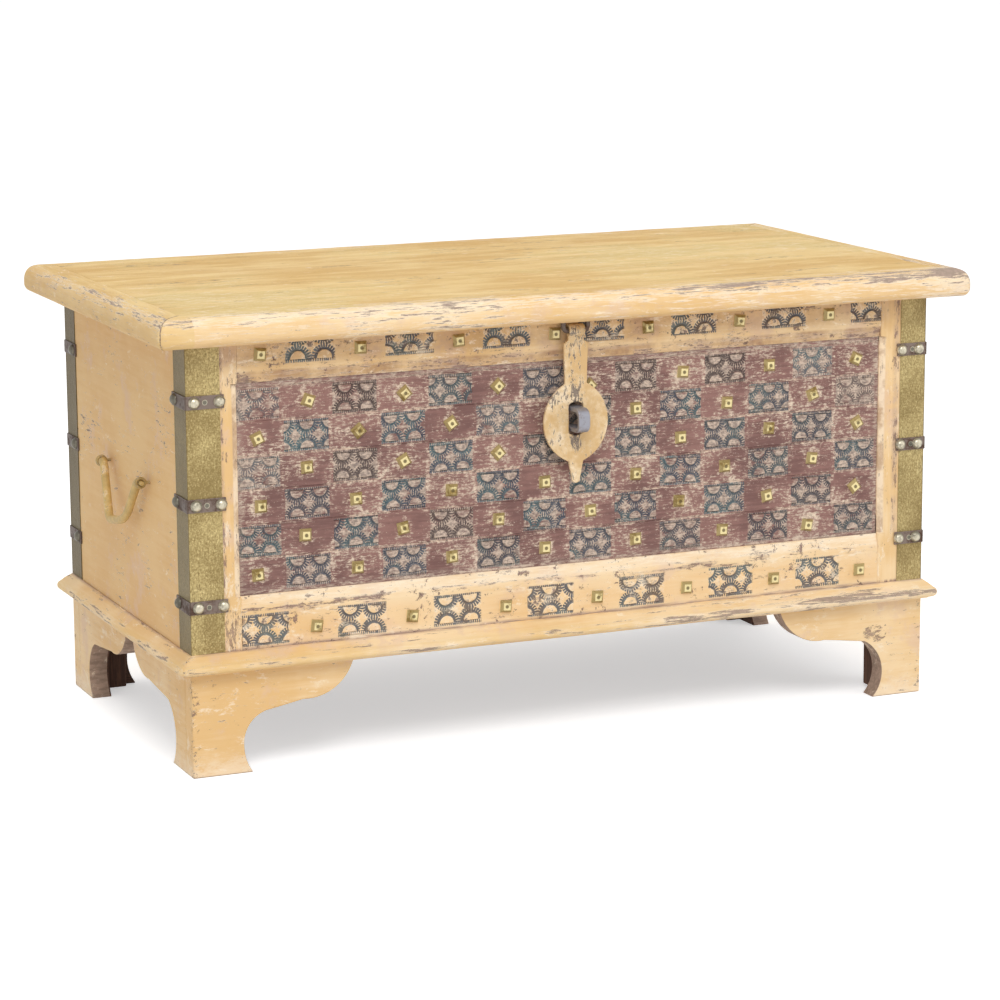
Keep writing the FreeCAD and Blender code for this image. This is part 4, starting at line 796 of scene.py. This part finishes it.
def board(node, material, body="carcass", width=None, corner=None):
    """A wooden CAD node with rounded edges and hand-planed faces."""
    bm = from_cad(node)
    round_edges(bm, sizes().board_round if width is None else width)
    if corner:
        round_plan(bm, *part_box(node), corner)
    slice_up(bm, BOARD_STEP)
    weather(bm, sizes().wobble)
    return piece(node + "_wood", bm, material, body, [node])


def metalwork(node, material, body="carcass", width=None, segments=2):
    """A metal CAD node with softened edges."""
    bm = from_cad(node)
    round_edges(bm, sizes().metal_round if width is None else width, segments)
    return piece(node + "_metal", bm, material, body, [node])


def mark_sawn(bm, axis, outward):
    """Mark a bracket's sawn edges with 1 and its hidden back with 2, which the paint leaves bare."""
    cut = bm.faces.layers.float.new("cut")
    for face in bm.faces:
        facing = face.normal[axis] * outward[axis]
        end = face.normal[1 - axis] * outward[1 - axis]
        if facing < -0.6:
            face[cut] = 2.0
        elif abs(facing) < 0.4 and end < 0.5:
            face[cut] = 1.0


def mark_middles(bm, radius):
    """Mark the dimple in the middle of each stud, which is coloured darker."""
    pit = bm.verts.layers.float.new("middle")
    left = set(bm.verts)
    while left:
        grow = [left.pop()]
        stud = []
        while grow:
            v = grow.pop()
            stud.append(v)
            for e in v.link_edges:
                other = e.other_vert(v)
                if other in left:
                    left.remove(other)
                    grow.append(other)
        x = (min(v.co.x for v in stud) + max(v.co.x for v in stud)) / 2
        z = (min(v.co.z for v in stud) + max(v.co.z for v in stud)) / 2
        for v in stud:
            if math.hypot(v.co.x - x, v.co.z - z) < radius:
                v[pit] = 1.0


def mark_flanks(bm, top):
    """Mark the sloping sides of studs and rivets, which get painted shade to look darker than their tops."""
    flank = bm.faces.layers.float.new("flank")
    for face in bm.faces:
        face[flank] = 1.0 if max(abs(face.normal.x), abs(face.normal.y)) < top else 0.0


def ring_nail(bm, place, facing):
    """A small nail with a dished head, standing on a face that looks along Y."""
    turn = Matrix.Rotation(math.radians(-90 * facing), 4, "X")
    head = bmesh.ops.create_cone(bm, cap_ends=True, segments=NAIL_SIDES, radius1=NAIL_LOW, radius2=NAIL_HIGH,
                                 depth=NAIL_TALL, matrix=Matrix.Translation(place) @ turn)
    caps = {f for v in head["verts"] for f in v.link_faces if len(f.verts) == NAIL_SIDES}
    top = max(caps, key=lambda f: f.calc_center_median().y * facing)
    bmesh.ops.inset_individual(bm, faces=[top], thickness=NAIL_RIM, depth=-NAIL_DISH)
    for v in top.verts:
        v[bm.verts.layers.float["middle"]] = 1.0


# Carving

# A motif's parts, as shares of half its height and of its half-moons' reach
BAR_FROM = 0.80
RING_IN = 0.60
TOOTH_FROM = 0.77
RING_OUT = 1.06
COMB = 12
# How far a motif's edge rises to the board's face, and what counts as being on that face
MOTIF_RIM = 1.2 * MM
FACE_SLACK = 0.1 * MM
# How far the carver strays from one motif to the next: across, up, in lean and in size
ASTRAY_ACROSS = 0.05
ASTRAY_UP = 0.04
ASTRAY_LEAN = 0.03
MOTIF_GROWTH = (0.95, 1.04)

# Cells by row and column: half-moons in the middle, bluest, brownest, and almost worn away
CENTRED = {(0, 0), (0, 4), (0, 12), (1, 1), (1, 9), (1, 11), (2, 8), (4, 2), (4, 6), (4, 8), (4, 12), (5, 7),
           (5, 13)}
BLUE = {(1, 1), (1, 3), (3, 3), (3, 9), (5, 3), (2, 4), (4, 6)}
BROWN = {(0, 2), (2, 2), (0, 8), (0, 10), (1, 13), (4, 4)}
WORN = {(0, 0), (2, 0), (1, 5), (0, 12), (1, 13)}
# How blue the other motifs are, and how deep the worn ones and the others are cut
OTHER_TONE = (0.45, 0.9)
WORN_CUT = (0.55, 0.7)
OTHER_CUT = (0.85, 1.0)
PANEL_SEED = 11
HALF_SEED = 7

Motif = namedtuple("Motif", "x z width height centred tone strength")

# A carved rail: its first motif, the step to the next, their height above the floor, which of the seven
# have half-moons in the middle, and the seed of their small differences
Rail = namedtuple("Rail", "node first step z centred seed")
RAILS = (
    Rail("front_bottom_rail", -373.9 * MM, 115.5 * MM, 161 * MM, {0, 3, 5, 6}, 3),
    Rail("front_top_rail", -315.0 * MM, 117.15 * MM, 474 * MM, {1, 3, 6}, 4),
)
RAIL_MOTIFS = 7
RAIL_TONE = 0.5
RAIL_DEPTH = 0.8
RAIL_CEILING = BODY_TOP - 1 * MM


def motif_cut(across, up, teeth):
    """Depth of the carving at a point of a motif: 1 in the grooves, below 0 where it is domed.

    Half-moons stand on the lower bar and hang from the upper one, with toothed rings round them,
    and four-pointed stars are left between.
    """
    high = abs(up)
    if high > BAR_FROM:
        place = (high - BAR_FROM) / (1 - BAR_FROM)
        comb = 0.5 + 0.5 * math.cos(2 * math.pi * COMB * across)
        return max(1 - min(place, 1 - place) / 0.3, 0.45 * comb)
    side = 2 * (across % 1.0 - 0.5)
    drop = 1 - high / BAR_FROM
    reach = math.hypot(side, drop)
    if reach < RING_IN:
        return -0.4 * (1 - (reach / RING_IN) ** 2)
    if reach > RING_OUT:
        return -0.3 * min(1.0, (reach - RING_OUT) / 0.2)
    wall = min((reach - RING_IN) / 0.06, (RING_OUT - reach) / 0.08, 1.0)
    if reach < TOOTH_FROM:
        return wall
    tooth = 0.5 + 0.5 * math.cos(2 * teeth * math.atan2(side, drop))
    return wall * (0.30 + 0.55 * tooth)


def carve(bm, face_y, motifs, depth, seed, ceiling=1.0):
    """Cut motifs into the front of a board, none above a ceiling.

    Each point keeps its place in its motif for the colours.
    """
    s = sizes()
    rng = random.Random(seed)
    for m in motifs:
        cut_across(bm, 0, m.x - m.width / 2)
        cut_across(bm, 0, m.x + m.width / 2)
    edges = {min(m.z + way * m.height / 2, ceiling) for m in motifs for way in (-1, 1)}
    for edge in sorted({round(edge, 6) for edge in edges}):
        cut_across(bm, 2, edge)
    layers = {name: bm.verts.layers.float.new(name)
              for name in ("motif", "across", "up", "tone", "strength")}
    for m in motifs:
        near = [f for f in bm.faces if f.normal.y < -0.99
                and abs(f.calc_center_median().y - face_y) < FACE_SLACK
                and abs(f.calc_center_median().x - m.x) < m.width / 2
                and abs(f.calc_center_median().z - m.z) < m.height / 2
                and f.calc_center_median().z < ceiling]
        if len(near) != 1 or len(near[0].verts) != 4:
            raise RuntimeError("the cell at %.3f, %.3f isn't one plain face" % (m.x, m.z))
        bmesh.ops.subdivide_edges(bm, edges=near[0].edges[:], cuts=s.motif_cuts, use_grid_fill=True)
        shift = Vector((rng.uniform(-ASTRAY_ACROSS, ASTRAY_ACROSS), rng.uniform(-ASTRAY_UP, ASTRAY_UP)))
        lean = rng.uniform(-ASTRAY_LEAN, ASTRAY_LEAN)
        grow = rng.uniform(*MOTIF_GROWTH)
        for v in bm.verts:
            a = (v.co.x - m.x) / (m.width / 2)
            b = (v.co.z - m.z) / (m.height / 2)
            if max(abs(a), abs(b)) > 1.0001 or abs(v.co.y - face_y) > FACE_SLACK:
                continue
            if v.co.z > ceiling + 0.01 * MM:
                continue
            across = (a + b * lean) * grow + shift.x + (0.5 if m.centred else 0.0)
            up = max(-1.0, min(1.0, (b - a * lean * 2) * grow + shift.y))
            rim = min((1 - abs(a)) * m.width / 2, (1 - abs(b)) * m.height / 2, ceiling - v.co.z)
            v[layers["motif"]] = max(0.0, min(1.0, rim / MOTIF_RIM))
            v[layers["across"]] = across
            v[layers["up"]] = up
            v[layers["tone"]] = m.tone
            v[layers["strength"]] = m.strength
            v.co.y += motif_cut(across, up, s.teeth) * depth * v[layers["motif"]] * m.strength


class TRUNK_OT_lid(bpy.types.Operator):
    """Lid planks, rounded edging and battens"""
    bl_idname = "trunk.lid"
    bl_label = "Lid"

    def execute(self, context):
        top = finish("lid_top_paint", old_paint, "top", "top_deep", "x", -0.4, -0.3, plank_wear)
        for word in ("front", "middle", "back"):
            board("lid_plank_" + word, top, "lid", width=0.4 * MM)
        for word, grain in SIDES:
            nose = finish("lid_nose_paint_" + grain, yellow_paint, grain, -0.2, 0.0, lid_wear)
            board("lid_edge_" + word, nose, "lid", width=0.6 * MM, corner=sizes().lid_corner)
        plain = finish("bare_wood_y", bare_wood, "y")
        for word in ("left", "right"):
            board("lid_batten_" + word, plain, "lid")
        return {"FINISHED"}


class TRUNK_OT_front_frame(bpy.types.Operator):
    """Front stiles and the two carved rails"""
    bl_idname = "trunk.front_frame"
    bl_label = "Front frame"

    def execute(self, context):
        s = sizes()
        stile = finish("stile_paint", yellow_paint, "z", 0.5, 0.3, lip_wear)
        for word in ("left", "right"):
            board("front_%s_stile" % word, stile)
        carved = finish("rail_paint", yellow_paint, "x", 0.2, 0.35, carved_wear)
        for rail in RAILS:
            motifs = [Motif(rail.first + i * rail.step, rail.z, s.rail_motif_width, s.rail_motif_height,
                            i in rail.centred, RAIL_TONE, 1.0) for i in range(RAIL_MOTIFS)]
            bm = from_cad(rail.node)
            carve(bm, -BODY_HALF_D, motifs, s.carve_depth * RAIL_DEPTH, rail.seed, RAIL_CEILING)
            weather(bm, s.wobble * 0.6)
            piece(rail.node + "_wood", bm, carved, "carcass", [rail.node])
        return {"FINISHED"}


# How far the panel goes under its frame, and the lines scribed between its rows
TUCK = 4 * MM
SCRIBED_HALF = 0.8 * MM
SCRIBED_DEPTH = 0.9 * MM


class TRUNK_OT_front_panel(bpy.types.Operator):
    """Stained front panel with its carved cells, in two halves"""
    bl_idname = "trunk.front_panel"
    bl_label = "Front panel"

    def execute(self, context):
        s = sizes()
        rng = random.Random(PANEL_SEED)
        stain = finish("panel_stain", stained_panel)
        left, top, cell_w, cell_h = carved_grid()
        motifs = []
        for row in range(s.rows):
            for column in range(row % 2, s.columns, 2):
                cell = (row, column)
                tone = 1.0 if cell in BLUE else 0.0 if cell in BROWN else rng.uniform(*OTHER_TONE)
                strength = rng.uniform(*(WORN_CUT if cell in WORN else OTHER_CUT))
                motifs.append(Motif(left + cell_w * (column + 0.5), top - cell_h * (row + 0.5),
                                    s.motif_width, s.motif_height, cell in CENTRED, tone, strength))
        lines = [top - cell_h * row for row in range(s.rows)]
        tall = OPEN_TOP - OPEN_LOW + 2 * TUCK
        deep = PANEL_HIGH.y - PANEL_FACE
        for half, side in (("left", -1), ("right", 1)):
            bm = bmesh.new()
            wide = OPEN_HALF + TUCK + side * s.grid_left
            middle = Vector((side * wide / 2 - s.grid_left, PANEL_FACE + deep / 2,
                             (OPEN_TOP + OPEN_LOW) / 2))
            bmesh.ops.create_cube(bm, size=1.0, matrix=Matrix.Translation(middle)
                                  @ Matrix.Diagonal((wide, deep, tall, 1.0)))
            for z in lines:
                for way in (-1, 0, 1):
                    cut_across(bm, 2, z + way * SCRIBED_HALF)
            half_motifs = [m for m in motifs if (m.x + s.grid_left) * side > 0]
            carve(bm, PANEL_FACE, half_motifs, s.carve_depth, HALF_SEED + side)
            for v in bm.verts:
                on_line = min(abs(v.co.z - z) for z in lines) < FACE_SLACK
                if on_line and abs(v.co.y - PANEL_FACE) < FACE_SLACK:
                    v.co.y += SCRIBED_DEPTH
            weather(bm, s.wobble * 0.5, PANEL_WAVE)
            piece("front_panel_%s_half" % half, bm, stain, "carcass",
                  ["front_panel"] if side < 0 else [])
        return {"FINISHED"}


class TRUNK_OT_box(bpy.types.Operator):
    """Side boards, back planks, bottom planks and cleats"""
    bl_idname = "trunk.box"
    bl_label = "Box"

    def execute(self, context):
        side = finish("side_paint", old_paint, "side", "side_deep", "y", 0.6, -0.1)
        for word in ("left", "right"):
            board(word + "_side_board", side)
        back = finish("back_paint", old_paint, "side", "side_deep", "x", 0.4, -0.1)
        for word in ("lower", "upper"):
            board("back_plank_" + word, back)
        plain = finish("bare_wood_x", bare_wood, "x")
        for node in ("bottom_plank_front", "bottom_plank_middle", "bottom_plank_back", "bottom_cleats"):
            board(node, plain)
        return {"FINISHED"}


class TRUNK_OT_base(bpy.types.Operator):
    """Base moulding and bracket feet"""
    bl_idname = "trunk.base"
    bl_label = "Base"

    def execute(self, context):
        for word, grain in SIDES:
            mould = finish("moulding_paint_" + grain, yellow_paint, grain, 0.0, 0.0, nose_wear)
            board("base_moulding_" + word, mould, width=0.9 * MM, corner=sizes().base_corner)
        for corner, sx, sy in CORNERS:
            for part, grain, axis in (("face", "x", 1), ("side", "y", 0)):
                foot = finish("foot_paint_" + grain, yellow_paint, grain, 0.3, 0.55, foot_wear)
                node = "%s_foot_%s" % (corner, part)
                bm = from_cad(node)
                mark_sawn(bm, axis, (sx, sy))
                round_edges(bm, sizes().board_round)
                slice_up(bm, BRACKET_STEP)
                weather(bm, sizes().wobble)
                piece(node + "_wood", bm, foot, "carcass", [node])
        plain = finish("bare_wood_z", bare_wood, "z")
        board("foot_corner_blocks", plain)
        return {"FINISHED"}


# Half the height of one iron band, and where its ring nail stands along the brass leg
HALF_BAND = 7.5 * MM
NAIL_ALONG = 0.55
# A rivet's rounded edges, and how squarely its top faces
RIVET_ROUND = 0.35 * MM
RIVET_TOP = 0.75
# Brass sheet: cuts across and up, size of its fine and coarse dents, its flat rim and its thickness
SHEET_CUTS = (44, 172)
FINE_DENT = 3.4 * MM
COARSE_DENT = 17 * MM
FLAT_RIM = 2 * MM
SHEET = 0.5 * MM


class TRUNK_OT_corners(bpy.types.Operator):
    """Stippled brass corner sheets, iron bands, domed rivets and ring nails"""
    bl_idname = "trunk.corners"
    bl_label = "Corners"

    def execute(self, context):
        s = sizes()
        brass = finish("corner_brass_sheet", stippled_brass)
        iron = finish("band_iron_strap", worn_metal, tint("band", 1.5), tint("rust", 0.7),
                      metal=0.3, rough=0.5, grime=0.2, edge=1.0, side=0.5)
        pale = finish("rivet_pale_metal", worn_metal, tint("rivet"), tint("rivet", 0.4),
                      metal=0.6, rough=0.34, grime=0.0, edge=0.2, side=0.85)
        nails = bmesh.new()
        nails.verts.layers.float.new("middle")
        for corner, sx, sy in CORNERS:
            node = "brass_corner_" + corner
            low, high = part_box(node)
            bm = bmesh.new()
            bmesh.ops.create_grid(bm, x_segments=SHEET_CUTS[0], y_segments=SHEET_CUTS[1], size=1.0)
            front_leg, side_leg, tall = high - low
            outer = Vector((high.x if sx > 0 else low.x, high.y if sy > 0 else low.y))
            for v in bm.verts:
                leg = front_leg if v.co.x >= 0 else side_leg
                run = v.co.x * leg
                z = low.z + tall * (v.co.y + 1) / 2
                dent = noise.noise(Vector((run, z, sx + sy * 3)) / FINE_DENT) * 0.5 + 0.5
                coarse = noise.noise(Vector((run, z, 9 + sx + sy * 3)) / COARSE_DENT) * 0.5 + 0.5
                rim = min(1.0, (leg - abs(run)) / FLAT_RIM, abs(run) / FLAT_RIM)
                sink = (dent * 0.8 + coarse * 0.5) * s.stipple * max(rim, 0.15)
                x, y = outer
                if run >= 0:
                    v.co = Vector((x - sx * run, y - sy * sink, z))
                else:
                    v.co = Vector((x - sx * sink, y + sy * run, z))
            bmesh.ops.recalc_face_normals(bm, faces=bm.faces)
            if bm.faces[:][0].normal.dot(Vector((sx, sy, 0))) < 0:
                bmesh.ops.reverse_faces(bm, faces=bm.faces)
            bmesh.ops.solidify(bm, geom=bm.faces[:], thickness=SHEET)
            piece(node + "_sheet", bm, brass, "carcass", [node], smooth=60)
            bands = "corner_bands_" + corner
            metalwork(bands, iron)
            low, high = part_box(bands)
            for z in (low.z + HALF_BAND, (low.z + high.z) / 2, high.z - HALF_BAND):
                face = high.y if sy > 0 else low.y
                ring_nail(nails, Vector((outer.x - sx * NAIL_ALONG * front_leg, face, z)), sy)
        bm = from_cad("band_rivets")
        round_edges(bm, RIVET_ROUND)
        mark_flanks(bm, RIVET_TOP)
        piece("band_rivets_metal", bm, pale, "carcass", ["band_rivets"])
        piece("band_ring_nails", nails, pale, "carcass")
        return {"FINISHED"}


# A stud's dimple, the least turn of its rounded edges, how squarely its top faces, and its unevenness
STUD_DIMPLE = 2.4 * MM
STUD_SHARP = 18
STUD_TOP = 0.85
STUD_WOBBLE = 0.25 * MM


class TRUNK_OT_studs(bpy.types.Operator):
    """Square brass studs on the panel and rails"""
    bl_idname = "trunk.studs"
    bl_label = "Studs"

    def execute(self, context):
        brass = finish("stud_brass_worn", worn_metal, tint("stud"), tint("stud_deep"),
                       metal=0.35, rough=0.36, grime=-0.2, edge=0.4)
        for node in ("panel_studs", "rail_studs"):
            bm = from_cad(node)
            round_edges(bm, sizes().metal_round, 2, STUD_SHARP)
            mark_middles(bm, STUD_DIMPLE)
            mark_flanks(bm, STUD_TOP)
            weather(bm, STUD_WOBBLE, STUD_WAVE)
            piece(node + "_metal", bm, brass, "carcass", [node])
        return {"FINISHED"}


class TRUNK_OT_hasp(bpy.types.Operator):
    """Hasp, its hanger under the lid and the staple it closes over"""
    bl_idname = "trunk.hasp"
    bl_label = "Hasp and staple"

    def execute(self, context):
        painted = finish("hasp_chipped_paint", chipped_iron, tint("paint", 0.87), tint("paint_deep", 0.82),
                         chips=0.5)
        iron = finish("forged_iron", worn_metal, tint("iron"), tint("rust"),
                      metal=0.5, rough=0.42, grime=-0.6, edge=0.7)
        metalwork("hasp", painted, "hasp", width=0.9 * MM, segments=3)
        dark = finish("hanger_iron", worn_metal, tint("band"), tint("rust"),
                      metal=0.4, rough=0.5, grime=0.0, edge=0.4)
        metalwork("hasp_hanger", dark, "lid")
        metalwork("front_staple", iron, width=1.1 * MM, segments=3)
        return {"FINISHED"}


class TRUNK_OT_handles(bpy.types.Operator):
    """Carrying handles and their eyes"""
    bl_idname = "trunk.handles"
    bl_label = "Handles"

    def execute(self, context):
        painted = finish("handle_chipped_paint", chipped_iron, tint("ochre"), tint("ochre", 0.75),
                         chips=-0.2)
        worn = finish("eye_chipped_paint", chipped_iron, tint("ochre", 0.8), tint("ochre", 0.5), chips=1.2)
        for word in ("left", "right"):
            metalwork(word + "_handle", painted, word + "_handle", width=0.8 * MM)
        metalwork("handle_eyes", worn)
        return {"FINISHED"}


HINGE_ROUND = 0.3 * MM
HINGE_PARTS = (
    ("hinge_lower_leaf_left", "carcass"), ("hinge_upper_leaf_left", "lid"),
    ("hinge_lower_leaf_right", "carcass"), ("hinge_upper_leaf_right", "lid"),
    ("hinge_pins", "carcass"), ("hinge_screws_body", "carcass"), ("hinge_screws_lid", "lid"),
)


class TRUNK_OT_hinges(bpy.types.Operator):
    """Hinge leaves, pins and screws at the back"""
    bl_idname = "trunk.hinges"
    bl_label = "Hinges"

    def execute(self, context):
        steel = finish("hinge_dull_steel", worn_metal, tint("steel"), tint("rust"),
                       metal=0.8, rough=0.4, grime=0.2, edge=0.5)
        for node, body in HINGE_PARTS:
            metalwork(node, steel, body, width=HINGE_ROUND)
        return {"FINISHED"}


# Photograph's viewpoint: place, focal length in frame widths, and turn in degrees
EYE = Vector((-1.5691, -3.6451, 1.0300))
FOCAL = 3.361
YAW = 23.405
PITCH = 11.350
ROLL = -0.314
SENSOR = 36.0


def look():
    """The camera's place and turn."""
    turn = Matrix.Rotation(math.radians(-YAW), 4, "Z")
    tilt = Matrix.Rotation(math.radians(90 - PITCH), 4, "X")
    return Matrix.Translation(EYE) @ turn @ tilt @ Matrix.Rotation(math.radians(ROLL), 4, "Z")


# How much the floor shines towards the camera, so that it looks white, and how far it goes
FLOOR_GLOW = 0.5
FLOOR_REACH = 30.0
# Light from all round, which looks white where it is seen straight or in metal
SKY = 0.56
# Each lamp's name, place, aim, size and power
LAMPS = (
    ("key", (-1.2, -3.4, 3.9), (0, 0, 0.25), 2.0, 108),
    ("fill", (3.2, -2.4, 2.0), (0, 0, 0.25), 3.0, 30),
    ("top", (0.0, 0.6, 3.6), (0, 0, 0.4), 2.4, 18),
)


def lamp(name, place, aim, size, power):
    """A soft square lamp that looks at a point."""
    data = bpy.data.lights.new(name, "AREA")
    data.shape = "SQUARE"
    data.size = size
    data.energy = power
    obj = bpy.data.objects.new(name, data)
    obj.location = place
    obj.rotation_euler = (Vector(aim) - Vector(place)).to_track_quat("-Z", "Y").to_euler()
    bpy.context.scene.collection.objects.link(obj)


class TRUNK_OT_stage(bpy.types.Operator):
    """Pale floor, soft light and the camera"""
    bl_idname = "trunk.stage"
    bl_label = "Stage"

    def execute(self, context):
        scene = context.scene
        scene.view_settings.view_transform = "Standard"
        bm = bmesh.new()
        bmesh.ops.create_grid(bm, x_segments=1, y_segments=1, size=FLOOR_REACH)
        mesh = bpy.data.meshes.new("studio_floor")
        bm.to_mesh(mesh)
        bm.free()
        ground = bpy.data.objects.new("studio_floor", mesh)
        scene.collection.objects.link(ground)
        f = Finish("studio_floor")
        glow = f.mix(f.seen(), (0.0,) * 3, (FLOOR_GLOW,) * 3)
        shine = {"Emission Color": glow, "Emission Strength": 1.0}
        mesh.materials.append(f.done((*tint("floor"), 1.0), 0.9, **shine))
        world = scene.world or bpy.data.worlds.new("studio")
        scene.world = world
        world.use_nodes = True
        sky = Nodes(world.node_tree)
        light = sky.seen() * (1 - SKY) + SKY
        sky.feed(sky.tree.nodes["Background"], {"Color": (1.0,) * 4, "Strength": light})
        for settings in LAMPS:
            lamp(*settings)
        eye = bpy.data.cameras.new("camera")
        eye.sensor_width = SENSOR
        eye.lens = FOCAL * SENSOR
        eye.clip_end = 100
        camera = bpy.data.objects.new("camera", eye)
        camera.matrix_world = look()
        scene.collection.objects.link(camera)
        scene.camera = camera
        return {"FINISHED"}


STEPS = (
    TRUNK_OT_stage, TRUNK_OT_lid, TRUNK_OT_front_frame, TRUNK_OT_front_panel, TRUNK_OT_box, TRUNK_OT_base,
    TRUNK_OT_corners, TRUNK_OT_studs, TRUNK_OT_hasp, TRUNK_OT_handles, TRUNK_OT_hinges,
)


class TRUNK_PT_build(bpy.types.Panel):
    """Buttons for each group of pieces"""
    bl_idname = "TRUNK_PT_build"
    bl_label = "Painted Trunk"
    bl_space_type = "VIEW_3D"
    bl_region_type = "UI"
    bl_category = "Trunk"

    def draw(self, context):
        for step in STEPS:
            self.layout.operator(step.bl_idname)
        for group in (context.scene.trunk_sizes, context.scene.trunk_colours):
            for name in group.bl_rna.properties.keys():
                if name not in {"rna_type", "name"}:
                    self.layout.prop(group, name)


CLASSES = (TrunkSizes, TrunkColours, *STEPS, TRUNK_PT_build)


def register():
    for cls in CLASSES:
        bpy.utils.register_class(cls)
    bpy.types.Scene.trunk_sizes = PointerProperty(type=TrunkSizes)
    bpy.types.Scene.trunk_colours = PointerProperty(type=TrunkColours)


def unregister():
    del bpy.types.Scene.trunk_colours
    del bpy.types.Scene.trunk_sizes
    for cls in reversed(CLASSES):
        bpy.utils.unregister_class(cls)


def main():
    register()
    for step in STEPS:
        group, name = step.bl_idname.split(".")
        getattr(getattr(bpy.ops, group), name)()


if __name__ == "__main__":
    main()
